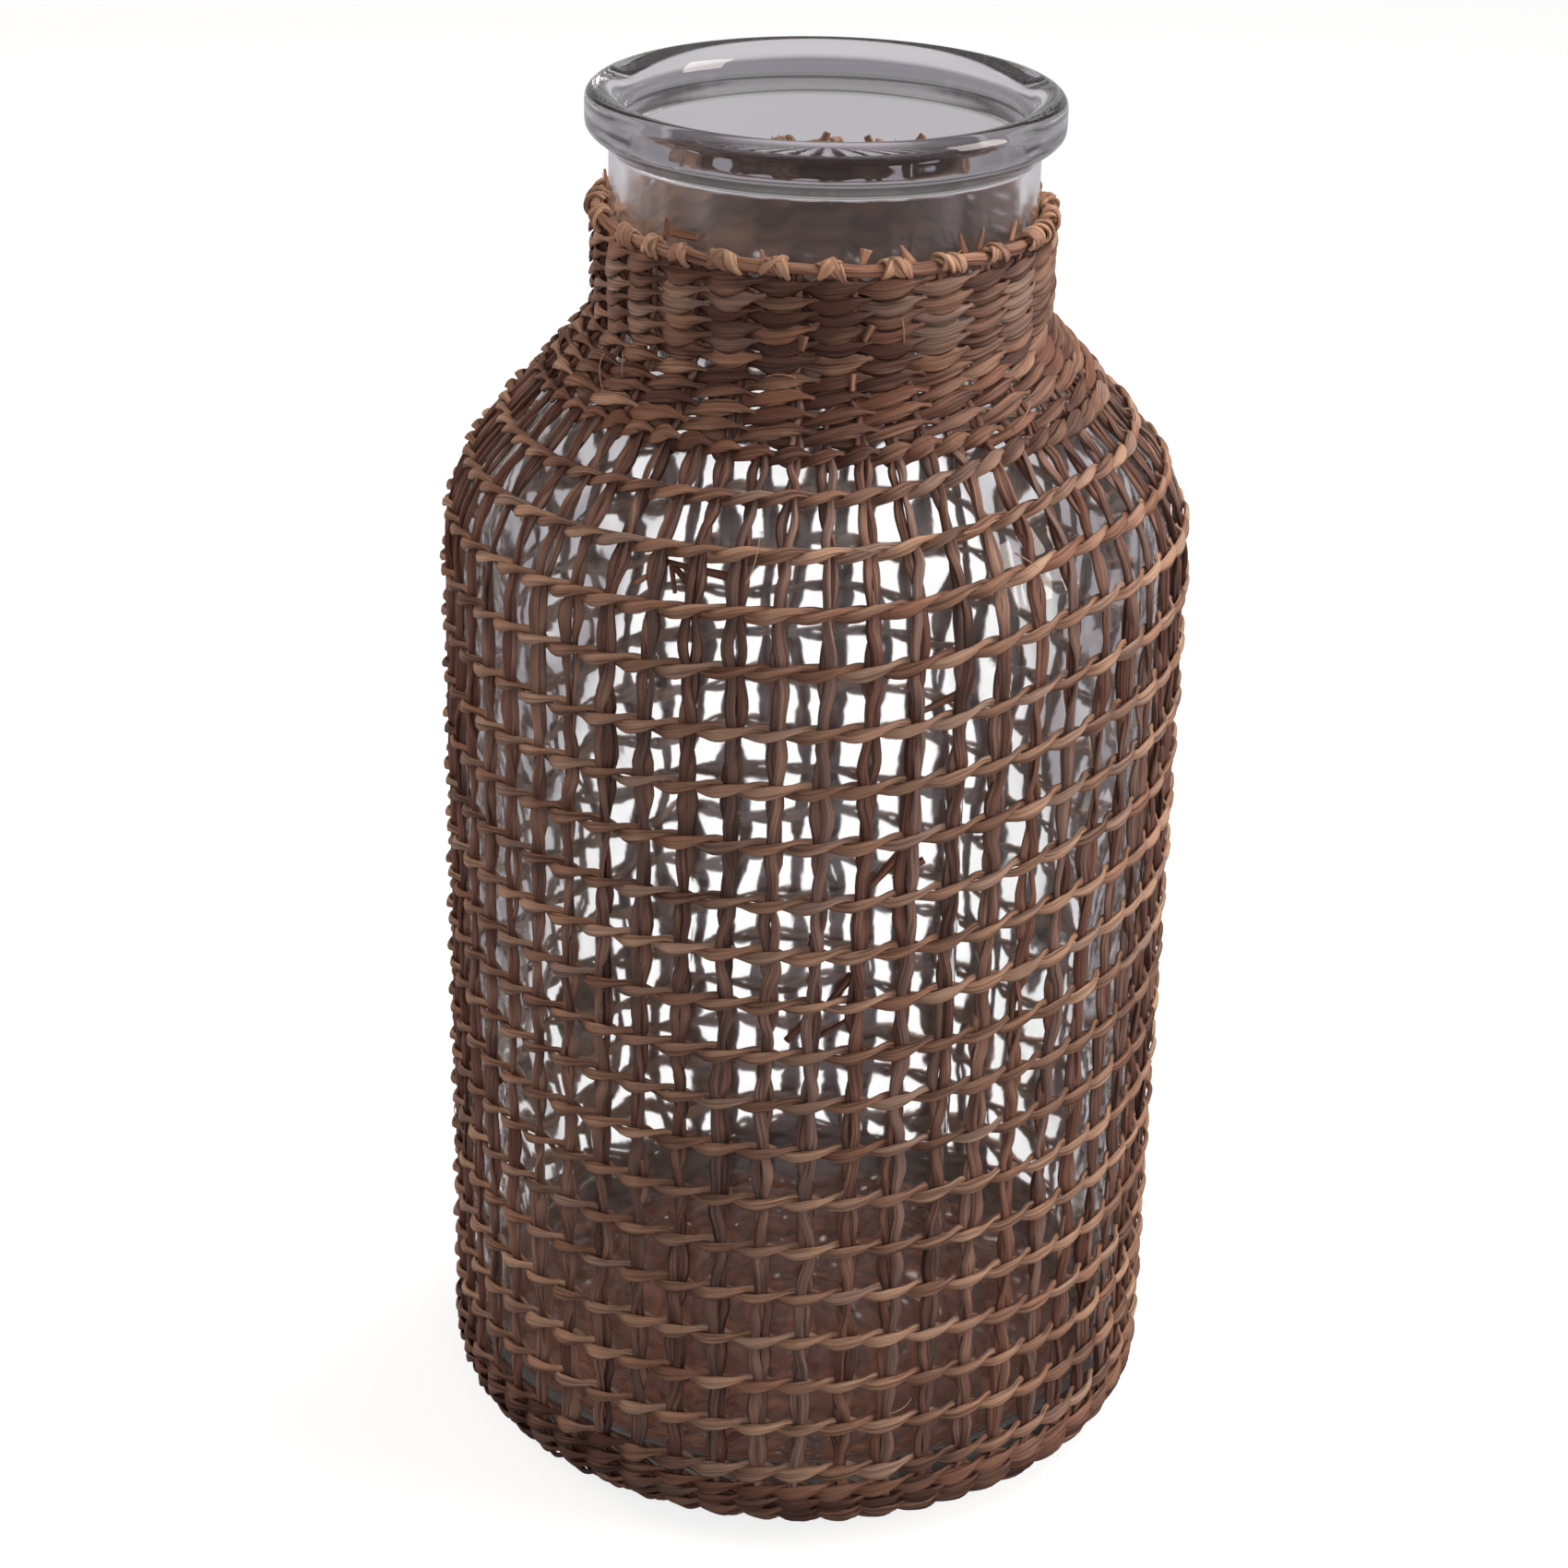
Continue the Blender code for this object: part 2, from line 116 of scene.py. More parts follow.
# Point in space, way up the outline and outward normal for distances, depths and angles.
def inSpace(distance, depth, angle):
    radius, height, lean = onOutline(distance, depth)
    return (atAngle(angle, radius, 0, height), atAngle(angle, -np.sin(lean), 0, np.cos(lean)),
            atAngle(angle, np.cos(lean), 0, np.sin(lean)))


# 0 before the start and 1 after the end, with even steps between them.
def evenStep(x, start, end):
    return np.clip((x - start) / (end - start), 0, 1)


# The same as half a wave, without a corner at either end.
def softStep(x, start, end):
    return (1 - np.cos(math.pi * evenStep(x, start, end))) / 2


# From the first value of a pair to the last, at shares w of the way.
def between(ends, w):
    return ends[0] + (ends[1] - ends[0]) * w


weave = {
    "stakePairs": 27, "firstPairAngle": -85.5,
    "openTurns": 20.15, "neckTurns": 10.4, "baseTurns": 6, "matTurns": 18.0,
    "openStartHeight": 17.1, "openStartAngle": -140, "borderBottom": 273.4,
    "neckPitch": 3.27, "clearance": 0.3, "matMargin": 1.4,
    "front": 50 / 360, "frontRight": 105 / 360,  # parts of a turn from the front left on
    "pairTurn": 20.2,  # from this turn up a stitch spans two stakes
    "matPairTurn": -14.2, "matCentreTurn": -19.9,  # below these it spans two and six
}
# How far the rows lie above even steps, by turn: at the front, and how much further at the front
# left and at the front right.
rises = {
    "front": [
        (-6, 0), (0, -0.2), (1.1, -0.2), (3.1, -1.3), (5.1, -2.1), (7.1, -1.5), (9.1, -2.0),
        (12.1, -2.1), (13.1, -1.0), (15.1, 0.3), (16.1, 1.8), (18.1, 2.3), (19.14, 2.9),
        (20.15, 0.1), (21.15, 1.4), (23.15, 2.2), (25.15, 2.6), (27.15, 2.4), (29.15, 1.7),
        (30.15, 1.3), (30.3, 0.3), (30.55, 0),
    ],
    "left": [
        (-6, 0), (0, 0.2), (3, 0.8), (5, 1.9), (6, 1.6), (8, 0.9), (10, 0), (13, -0.8), (16, -1.9),
        (18, -0.8), (19, -1.0), (20, 1.9), (21, 0.6), (23, 0), (30.55, 0),
    ],
    "right": [
        (-6, 0), (0, -1.3), (3, -2.1), (5, -0.7), (7, -0.2), (9, 1.9), (11, 3.7), (14, 4.3),
        (16, 5.1), (17.3, 6.2), (18.3, 6.2), (19.3, 5.7), (20.3, 1.4), (22.3, 1.4), (25, -0.7),
        (27, -1.7), (29.2, -1.4), (30.3, -0.5), (30.55, 0),
    ],
}
pairPitch = fullTurn / weave["stakePairs"]
stakePitch = pairPitch / 2
firstPair = math.radians(weave["firstPairAngle"])
startAngle = math.radians(weave["openStartAngle"])
openTurns, neckTurns, baseTurns = weave["openTurns"], weave["neckTurns"], weave["baseTurns"]
borderStart = neckStart + weave["borderBottom"] - neckFoot
openStart = wallStart + weave["openStartHeight"] - wallFoot
baseStart = (jarOutline["bodyRadius"] - jarOutline["baseCorner"] - weave["matMargin"]
             + weave["clearance"] + weave["neckPitch"] / 2)
matEdge = baseStart - weave["neckPitch"] / 2
basePitch = (openStart - baseStart) / baseTurns
neckEnd = borderStart - weave["neckPitch"] / 2 - weave["clearance"] / 2
openEnd = neckEnd - neckTurns * weave["neckPitch"]
openPitch = (openEnd - openStart) / openTurns


def rowAngle(turn):
    return startAngle + fullTurn * turn


def turnAt(angle):
    return (angle - startAngle) / fullTurn


def riseAt(place, turn):
    turns, heights = zip(*rises[place])
    return np.interp(turn, turns, heights)


# Distance of the twined row along the outline: even steps in each of the three zones, and the
# unevenness read from the tables, which fade softly into each other round the jar.
def rowDistance(turn):
    level = np.where(turn < 0, openStart + basePitch * turn,
                     np.where(turn <= openTurns, openStart + openPitch * turn,
                              openEnd + weave["neckPitch"] * (turn - openTurns)))
    past, front, frontRight = turn % 1, weave["front"], weave["frontRight"]
    back = softStep(past, frontRight, 1)
    left = softStep(past, front, 0) + back
    right = softStep(past, front, frontRight) - back
    return (level + riseAt("front", turn) + left * riseAt("left", turn)
            + right * riseAt("right", turn))


# Stitches counted from a stake: one for each stake on the body, one for each pair round the neck
# and under the base, one for each third pair near the middle of the base.
def stitchTable():
    def pairAt(turn):
        return (rowAngle(turn) - firstPair) / pairPitch

    def stakeCount(turn):
        return (rowAngle(turn) - firstPair) / stakePitch + 0.5

    high, low = math.ceil(pairAt(weave["pairTurn"])), math.floor(pairAt(weave["matPairTurn"]))
    topTurn = turnAt(firstPair + high * pairPitch + pairPitch / 4)
    lowTurn = turnAt(firstPair + low * pairPitch - pairPitch / 4)
    top, bottom = stakeCount(topTurn), stakeCount(lowTurn)
    gap = 0.75 * pairPitch / fullTurn  # from a pair's second stake to the middle of the next pair
    lastTurn = openTurns + neckTurns + 0.5
    centreTurn, endTurn = weave["matCentreTurn"], -baseTurns - weave["matTurns"]
    perTurn = weave["stakePairs"]
    centre = bottom - 1 - (lowTurn - gap - centreTurn) * perTurn
    turns = [endTurn, centreTurn, lowTurn - gap, lowTurn, topTurn, topTurn + gap, lastTurn]
    counts = [centre - (centreTurn - endTurn) * perTurn / 3, centre, bottom - 1, bottom, top,
              top + 1, top + 1 + (lastTurn - topTurn - gap) * perTurn]
    return np.array(turns), np.array(counts)


stitchTurns, stitchCounts = stitchTable()


# Values that change softly from one whole number to the next; soft is the width of the change.
def stepped(x, values, soft=1.0):
    low = np.floor(x).astype(int)
    part = np.clip((x - low - 0.5) / soft + 0.5, 0, 1)
    part = part * part * (3 - 2 * part)
    count = len(values)
    return values[low % count] * (1 - part) + values[(low + 1) % count] * part


def unit(vectors):
    return vectors / np.maximum(np.linalg.norm(vectors, axis=-1, keepdims=True), 1e-12)


# Length along a path at each of its points.
def lengthAlong(path):
    return np.concatenate([[0], np.cumsum(np.linalg.norm(np.diff(path, axis=0), axis=1))])


# Faces of a tube of rings, with a fan that closes each end round a point of its own. Those two
# points come after the rings' points.
def tubeFaces(rings, sides):
    ring = np.arange(rings - 1)[:, None] * sides
    side = np.arange(sides)
    after = (side + 1) % sides
    over = ring + sides
    quads = np.stack([ring + side, ring + after, over + after, over + side], axis=-1)
    count, last = rings * sides, (rings - 1) * sides
    first = np.stack([np.full(sides, count), after, side], axis=-1)
    end = np.stack([np.full(sides, count + 1), last + side, last + after], axis=-1)
    return quads.reshape(-1, 4), np.concatenate([first, end])


# A straw: a flat oval carried along a path. Each ring stands across the path, half the width one
# way and half the thickness the other, is pressed in by lengthwise creases, bows by cup towards
# its edges, and turns about the path by roll.
def strawTube(path, across, halfWidth, halfThick, sides=8, roll=0.0, crease=0.1, creaseAt=0.0,
              cup=0.0):
    tangent = unit(np.gradient(path, axis=0))
    wide = unit(across - np.sum(across * tangent, axis=-1, keepdims=True) * tangent)
    thin = np.cross(tangent, wide)
    way = np.arange(sides) / sides * fullTurn

    def column(value):
        return np.broadcast_to(np.asarray(value, float), len(path))[:, None]

    roll, creaseAt = column(roll), column(creaseAt)
    swell = 1 + crease * (0.6 * np.cos(3 * way + creaseAt) + 0.5 * np.cos(5 * way - 1.7 * creaseAt))
    x = column(halfWidth) * np.cos(way) * swell
    y = column(halfThick) * np.sin(way) * swell - column(cup) * np.cos(way) ** 2
    a = x * np.cos(roll) - y * np.sin(roll)
    b = x * np.sin(roll) + y * np.cos(roll)
    points = path[:, None] + a[..., None] * wide[:, None] + b[..., None] * thin[:, None]
    points = np.concatenate([points.reshape(-1, 3), path[:1], path[-1:]])
    length = lengthAlong(path)
    grain = np.stack([np.broadcast_to(length[:, None], x.shape), x, y], axis=-1)
    grain = np.concatenate([grain.reshape(-1, 3), [[0, 0, 0], [length[-1], 0, 0]]])
    return (points, grain) + tubeFaces(len(path), sides)


# A bundle gathers the straws of one piece, each with its tone (0 dark, 1 light) and its tint
# (0 reddish, 1 greyish), given once or for each ring.
def newBundle():
    return {"points": [], "grain": [], "quads": [], "tris": [], "tone": [], "tint": [], "count": 0}


# The offset starts the straw's grain at another place of the pattern.
def addStraw(bundle, tube, tone, tint, offset=0.0):
    points, grain, quads, tris = tube
    bundle["points"].append(points)
    bundle["grain"].append(grain + np.array([offset, 0, 0]))
    bundle["quads"].append(quads + bundle["count"])
    bundle["tris"].append(tris + bundle["count"])
    for label, value in (("tone", tone), ("tint", tint)):
        value = np.atleast_1d(np.asarray(value, float))
        each = np.repeat(value, (len(points) - 2) // len(value))
        bundle[label].append(np.concatenate([each, [value[0], value[-1]]]))
    bundle["count"] += len(points)


def buildBundle(bundle, name, material, replaces=()):
    joined = {key: np.concatenate(parts) for key, parts in bundle.items() if key != "count"}
    piece = makePiece(name, joined["points"] * mm, joined["quads"], joined["tris"], material)
    for label, kind, field in (("grain", "FLOAT_VECTOR", "vector"), ("tone", "FLOAT", "value"),
                               ("tint", "FLOAT", "value")):
        values = joined[label].astype(np.float32).ravel()
        piece.data.attributes.new(label, kind, "POINT").data.foreach_set(field, values)
    return fitPiece(piece, replaces)


triangles = {}  # of each piece


# A mesh from whole arrays of points, four-cornered and three-cornered faces.
def makePiece(name, points, quads, tris, material):
    mesh = bpy.data.meshes.new(name)
    corners = np.concatenate([quads.ravel(), tris.ravel()]).astype(np.int32)
    sizes = np.concatenate([np.full(len(quads), 4), np.full(len(tris), 3)])
    starts = np.concatenate([[0], np.cumsum(sizes)[:-1]]).astype(np.int32)
    mesh.vertices.add(len(points))
    mesh.vertices.foreach_set("co", points.astype(np.float32).ravel())
    mesh.loops.add(len(corners))
    mesh.loops.foreach_set("vertex_index", corners)
    mesh.polygons.add(len(sizes))
    mesh.polygons.foreach_set("loop_start", starts)
    mesh.update(calc_edges=True)
    mesh.validate()
    mesh.shade_smooth()
    mesh.materials.append(material)
    triangles[name] = 2 * len(quads) + len(tris)
    piece = bpy.data.objects.new(name, mesh)
    bpy.context.collection.objects.link(piece)
    return piece


def fitPiece(piece, replaces=()):
    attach(piece, "root")
    if replaces:
        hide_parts(*replaces)
    return piece


# sRGB hex to linear colour.
def hexColour(text):
    values = [int(text[i:i + 2], 16) / 255 for i in (1, 3, 5)]
    return tuple(v / 12.92 if v <= 0.04045 else ((v + 0.055) / 1.055) ** 2.4 for v in values) + (1,)


def grey(value):
    return (value, value, value, 1)


# Adds a node, sets its properties and sockets, and joins sockets to outputs; a node stands for
# its first output. A socket is named with _ for a space, or by its number as i0, i1 and so on.
def addNode(tree, kind, settings=None, **inputs):
    node = tree.nodes.new("ShaderNode" + kind)
    for key, value in (settings or {}).items():
        setattr(node, key, value)
    for key, value in inputs.items():
        numbered = key[0] == "i" and key[1:].isdigit()
        socket = node.inputs[int(key[1:]) if numbered else key.replace("_", " ")]
        value = value.outputs[0] if isinstance(value, bpy.types.Node) else value
        if isinstance(value, bpy.types.NodeSocket):
            tree.links.new(value, socket)
        else:
            socket.default_value = value
    return node


# Empties the node tree of a material or a world, and gives addNode for that tree.
def emptyTree(owner):
    owner.use_nodes = True
    owner.node_tree.nodes.clear()
    return partial(addNode, owner.node_tree)


def setRamp(node, stops):
    ramp = node.color_ramp
    while len(ramp.elements) > 1:
        ramp.elements.remove(ramp.elements[-1])
    ramp.elements[0].position, ramp.elements[0].color = stops[0]
    for place, colour in stops[1:]:
        ramp.elements.new(place).color = colour
    return node


straws = {  # each one's colours and roughness; fold is how wide its lengthwise folds are
    "weft": {"dark": "#4c3027", "middle": "#8a6652", "light": "#bc977c", "grey": "#977e71",
             "red": "#895a45", "rough": 0.54, "fold": 0.85},
    # the stakes are darker: partly their own purple-brown, partly painted shade behind the rows
    "stake": {"dark": "#35231e", "middle": "#65463b", "light": "#92705f", "grey": "#745e57",
              "red": "#6b4133", "rough": 0.56, "fold": 0.8},
    "border": {"dark": "#5a392d", "middle": "#9e7560", "light": "#caa381", "grey": "#a08270",
               "red": "#9e6a50", "rough": 0.54, "fold": 0.7},
    # painted light: the mat is lighter and redder than the weft, as little light reaches it
    "mat": {"dark": "#7e452f", "middle": "#c67b59", "light": "#dca079", "grey": "#b5866d",
            "red": "#c4724c", "rough": 0.6, "fold": 0.85},
    # the same for all of them: lengths of the streaks, and how far each kind shifts the tone;
    # fibres are drawn 0.3 mm apart, coarser than the real 0.1 mm, so that they show
    "fibre": 0.3, "fibreLong": 14.0, "foldLong": 30.0, "blotch": 2.5, "blotchLong": 9.0,
    "fibreShare": 0.45, "foldShare": 0.45, "blotchShare": 0.55,
    "stops": [(0.05, "dark"), (0.5, "middle"), (0.95, "light")],
    "shades": [("grey", 0.55, 1.0, 0.6), ("red", 0.4, 0.0, 0.5)],  # tint from and to, most
    # painted shade in the folds and between the fibres: ranges of the pattern, and colour factors
    "creaseShade": (0.34, 0.45, 0.58, 1.0), "ridge": (0.3, 0.55, 0.9, 1.03),  # pattern and shade
    "fibreRelief": 0.2, "relief": 1.1, "reliefShare": 0.8, "specular": 0.36,
}


# Dried seagrass straw, hand twisted: dull, ribbed and folded along its length, each strand of its
# own shade of reddish or greyish brown. The pattern follows the straw's own length.
def drySeagrass(name, look):
    material = bpy.data.materials.new(name)
    add = emptyTree(material)
    tone, tint = (add("Attribute", {"attribute_name": label}).outputs["Fac"]
                  for label in ("tone", "tint"))
    grain = add("Attribute", {"attribute_name": "grain"}).outputs["Vector"]

    def streaks(along, across, detail):
        space = add("Mapping", Vector=grain, Scale=(1 / along, 1 / across, 1 / across))
        return add("TexNoise", Vector=space, Scale=1.0, Detail=detail, Roughness=0.6)

    fibre = streaks(straws["fibreLong"], straws["fibre"], 2.0)
    fold = streaks(straws["foldLong"], look["fold"], 1.0)
    blotch = streaks(straws["blotchLong"], straws["blotch"], 2.0)
    level = tone
    for pattern, label in ((fibre, "fibreShare"), (fold, "foldShare"), (blotch, "blotchShare")):
        part = add("Math", {"operation": "MULTIPLY_ADD"}, i0=pattern, i1=straws[label],
                   i2=-straws[label] / 2)
        level = add("Math", {"operation": "ADD"}, i0=part, i1=level)
    colour = setRamp(add("ValToRGB", Fac=level),
                     [(place, hexColour(look[label])) for place, label in straws["stops"]])
    for label, start, end, most in straws["shades"]:
        share = add("MapRange", {"interpolation_type": "SMOOTHSTEP"}, Value=tint,
                    From_Min=start, From_Max=end, To_Min=0.0, To_Max=most)
        colour = add("Mix", {"data_type": "RGBA"}, i0=share, i6=colour,
                     i7=hexColour(look[label])).outputs[2]
    # painted shade: the colour darkens in the lengthwise folds and slightly between the fibres
    creaseShade, ridge = (add("MapRange", Value=pattern, i1=start, i2=end, i3=least, i4=most)
                     for pattern, (start, end, least, most) in ((fold, straws["creaseShade"]),
                                                                (fibre, straws["ridge"])))
    shade = add("Math", {"operation": "MULTIPLY"}, i0=creaseShade, i1=ridge)
    shaded = add("Mix", {"data_type": "RGBA", "blend_type": "MULTIPLY"}, i0=1.0, i6=colour,
                 i7=shade)
    ribs = add("Math", {"operation": "MULTIPLY_ADD"}, i0=fibre, i1=straws["fibreRelief"], i2=fold)
    bump = add("Bump", Strength=straws["reliefShare"], Distance=straws["relief"] * mm, Height=ribs)
    surface = add("BsdfPrincipled", Base_Color=shaded.outputs[2], Roughness=look["rough"],
                  Normal=bump, Specular_IOR_Level=straws["specular"])
    add("OutputMaterial", Surface=surface)
    return material


jarGlass = {
    "ior": 1.51, "shadow": "#f0f3f2",
    "clear": 0.989,  # the rest is the haze of dust and fine scratches
    "caughtFrom": 5.5,  # bounces after which a ray caught in the thick corner goes straight on
    "ripples": [(15.0, 0.1), (3.2, 0.008)],  # each one's size and depth
    "top": 300,  # the heights of tint and roughness run up to here
    "tints": [(0, "#f3e2d8"), (11, "#f3e2d8"), (20, "#ffffff"), (288, "#ffffff"), (293, "#bdbbbe")],
    "rough": [(0, 0.08), (45, 0.07), (80, 0.035), (240, 0.035), (262, 0.08), (290, 0.08),
              (294, 0.02)],
}


# Pressed soda-lime glass: clear and fire polished, with the large soft ripples that a mould leaves,
# which bend what is seen through it. Lamps shine through it.
def pressedGlass(name, look):
    material = bpy.data.materials.new(name)
    add = emptyTree(material)
    place = add("TexCoord").outputs["Object"]
    relief = {}
    for size, depth in look["ripples"]:
        ripple = add("TexNoise", Vector=place, Scale=1 / (size * mm), Detail=1.0, Roughness=0.5)
        bump = add("Bump", Strength=1.0, Distance=depth * mm, Height=ripple, **relief)
        relief = {"Normal": bump}
    height = add("SeparateXYZ", Vector=place).outputs["Z"]
    share = add("MapRange", Value=height, From_Min=0.0, From_Max=look["top"] * mm)
    tint = setRamp(add("ValToRGB", Fac=share),
                   [(z / look["top"], hexColour(colour)) for z, colour in look["tints"]])
    rough = setRamp(add("ValToRGB", Fac=share),
                    [(z / look["top"], grey(value)) for z, value in look["rough"]])
    glass = add("BsdfPrincipled", Base_Color=tint, Roughness=rough, IOR=look["ior"],
                Transmission_Weight=look["clear"], **relief)
    ray = add("LightPath")
    caught = add("Math", {"operation": "GREATER_THAN"}, i0=ray.outputs["Ray Depth"],
                 i1=look["caughtFrom"])
    straight = add("BsdfTransparent", Color=grey(1))
    leaving = add("MixShader", i0=caught, i1=glass, i2=straight)
    lit = add("BsdfTransparent", Color=hexColour(look["shadow"]))
    mixed = add("MixShader", i0=ray.outputs["Is Shadow Ray"], i1=leaving, i2=lit)
    add("OutputMaterial", Surface=mixed)
    return material


jar = {
    "height": 299.8, "bodyWall": 3.8, "neckWall": 3.1, "floor": 6.0, "innerCorner": 9.0,
    "beadOut": 4.9, "beadHeight": 9.0, "lipRound": 2.6,
    "beadFoot": [(0, -0.9), (0.1, 0.2)],  # outwards and up from where the bead joins the neck
    "beadSide": [(-1.6, -0.1), (-0.2, 1.2), (0, 2.6)],  # and from its widest line's lower end
    "columns": 236, "outerSteps": 900, "outerStep": 2.6, "beadStep": 0.6, "innerStep": 2.5,
    "middle": 1.5,  # radius of the fans that close the middle
    "waveIn": 0.16, "waveOut": 0.04,  # how far the walls stray from round
    "calmHeights": (267.8, 287.8), "calmRadii": (35, 5), "calmFloor": 30,  # where they stray less
    "seamAngles": (-67, 113), "seamHeight": 0.22, "seamWidth": 0.5,  # the mould's two lines
    # columns beside a seam, in place of those within this angle of it in radians
    "seamColumns": [-1.6, -1.0, -0.7, -0.4, -0.15, 0.15, 0.4, 0.7, 1.0, 1.6], "seamClear": 0.032,
}


# Points on an arc of a circle in the (radius, height) plane.
def arcPoints(centre, bend, first, last, steps):
    a = np.linspace(first, last, steps)
    return np.stack([centre[0] + bend * np.cos(a), centre[1] + bend * np.sin(a)], axis=-1)


# Rounds a run of corners by cutting each one twice at a quarter of its sides.
def softened(points, times=2):
    for _ in range(times):
        a, b = points[:-1], points[1:]
        inner = np.stack([0.75 * a + 0.25 * b, 0.25 * a + 0.75 * b], axis=1).reshape(-1, 2)
        points = np.concatenate([points[:1], inner[1:-1], points[-1:]])
    return points


# Cuts a profile into steps no longer than the given length.
def resampled(points, step):
    gaps = np.linalg.norm(np.diff(points, axis=0), axis=1)
    points = points[np.concatenate([[True], gaps > 1e-6])]
    along = lengthAlong(points)
    at = np.linspace(0, along[-1], max(2, int(math.ceil(along[-1] / step)) + 1))
    return np.stack([np.interp(at, along, column) for column in points.T], axis=-1)


# Soft waves over the wall: a sum of sines in angle and height, so it closes round the jar.
def wallWaves(angle, height, seed):
    rng = np.random.default_rng(seed)
    total = np.zeros(np.broadcast(angle, height).shape)
    for _ in range(26):
        around = rng.integers(2, 22)
        upward = rng.uniform(-1, 1) * fullTurn / rng.uniform(14, 60)
        size = rng.uniform(0.4, 1)
        total += size * np.sin(around * angle + upward * height + rng.uniform(0, fullTurn))
    return total / 4.2  # to about 1 at most


# How far one angle is past another, the short way round.
def angleFrom(angle, other):
    return (angle - other + math.pi) % fullTurn - math.pi


# Even columns round the jar, with a few close ones at each mould seam in place of those near it.
def jarAngles():
    even = np.arange(jar["columns"]) / jar["columns"] * fullTurn
    near = np.array(jar["seamColumns"]) / jarOutline["bodyRadius"]
    seams = np.radians(jar["seamAngles"])
    away = np.abs(angleFrom(even[:, None], seams)).min(axis=1)
    close = (seams[:, None] + near).ravel() % fullTurn
    return np.sort(np.concatenate([even[away > jar["seamClear"]], close]))


# Half of the jar's section: up the outside, over the bead and down the inside, with the side that
# each point is on, 1 outside, 0 on the bead and -1 inside.
def jarProfile():
    o = jarOutline
    lean = math.radians(o["shoulderLean"])
    distances = np.linspace(runStarts[1][0], outlineTable[0, -1], jar["outerSteps"])
    outer = np.stack(onOutline(distances, 0)[:2], axis=-1)
    outer = np.concatenate([[[jar["middle"], o["glassBottom"]]],
                            outer[outer[:, 1] < o["beadJunction"] - 1]])
    top, lip = jar["height"], jar["lipRound"]
    neck, bore = o["neckRadius"], o["neckRadius"] - jar["neckWall"]
    edge = neck + jar["beadOut"]
    crest = edge - lip
    under = top - jar["beadHeight"]
    inward = crest - bore
    bead = np.concatenate([
        [(neck + r, o["beadJunction"] + z) for r, z in jar["beadFoot"]],
        [(edge + r, under + z) for r, z in jar["beadSide"]],
        arcPoints((crest, top - lip), lip, 0, math.pi / 2, 12),
        arcPoints((crest, top - inward), inward, math.pi / 2, math.pi, 14)[1:]])
    inside = o["bodyRadius"] - jar["bodyWall"]
    bend, fillet = o["shoulderBend"] - jar["bodyWall"], o["neckFillet"] + jar["neckWall"]
    slope = slopeLength(inside, bore, bend + fillet, lean)
    foot = shoulderHeight + (bend + fillet) * math.sin(lean) + slope * math.cos(lean)
    ground, corner = o["glassBottom"] + jar["floor"], jar["innerCorner"]
    inner = np.concatenate([
        arcPoints((bore + fillet, foot), fillet, math.pi, math.pi + lean, 16),
        arcPoints((inside - bend, shoulderHeight), bend, lean, 0, 30),
        arcPoints((inside - corner, ground + corner), corner, 0, -math.pi / 2, 16),
        [[jar["middle"], ground]]])
    parts = [resampled(outer, jar["outerStep"]), resampled(softened(bead), jar["beadStep"]),
             resampled(inner, jar["innerStep"])]
    return np.concatenate(parts), np.repeat([1, 0, -1], [len(part) for part in parts])


# The jar is its profile turned about the axis, with soft waves in its walls, and a low ridge
# shaped like a bell curve at each mould seam.
def buildJar():
    profile, side = jarProfile()
    angle = jarAngles()
    radius, height, side = profile[:, :1], profile[:, 1:], side[:, None]
    calm = (1 - evenStep(height, *jar["calmHeights"])) * (1 - evenStep(radius, *jar["calmRadii"]))
    calm = calm * np.where(height < jar["calmFloor"], 0.5, 1)
    waves = np.where(side < 0, jar["waveIn"] * wallWaves(angle, height, 5),
                     np.where(side > 0, jar["waveOut"] * wallWaves(angle, height, 9), 0))
    seam = sum(np.exp(-(angleFrom(angle, a) * radius / jar["seamWidth"]) ** 2)
               for a in np.radians(jar["seamAngles"]))
    radius = radius + (waves + jar["seamHeight"] * seam * (side > 0)) * calm
    points = atAngle(angle, radius, 0, height).reshape(-1, 3)
    ends = [[0, 0, profile[0, 1]], [0, 0, profile[-1, 1]]]
    quads, tris = tubeFaces(len(profile), len(angle))
    piece = makePiece("pressed_glass_jar", np.concatenate([points, ends]) * mm, quads, tris,
                      pressedGlass("pressed soda-lime glass", jarGlass))
    return fitPiece(piece, ["glass_jar"])


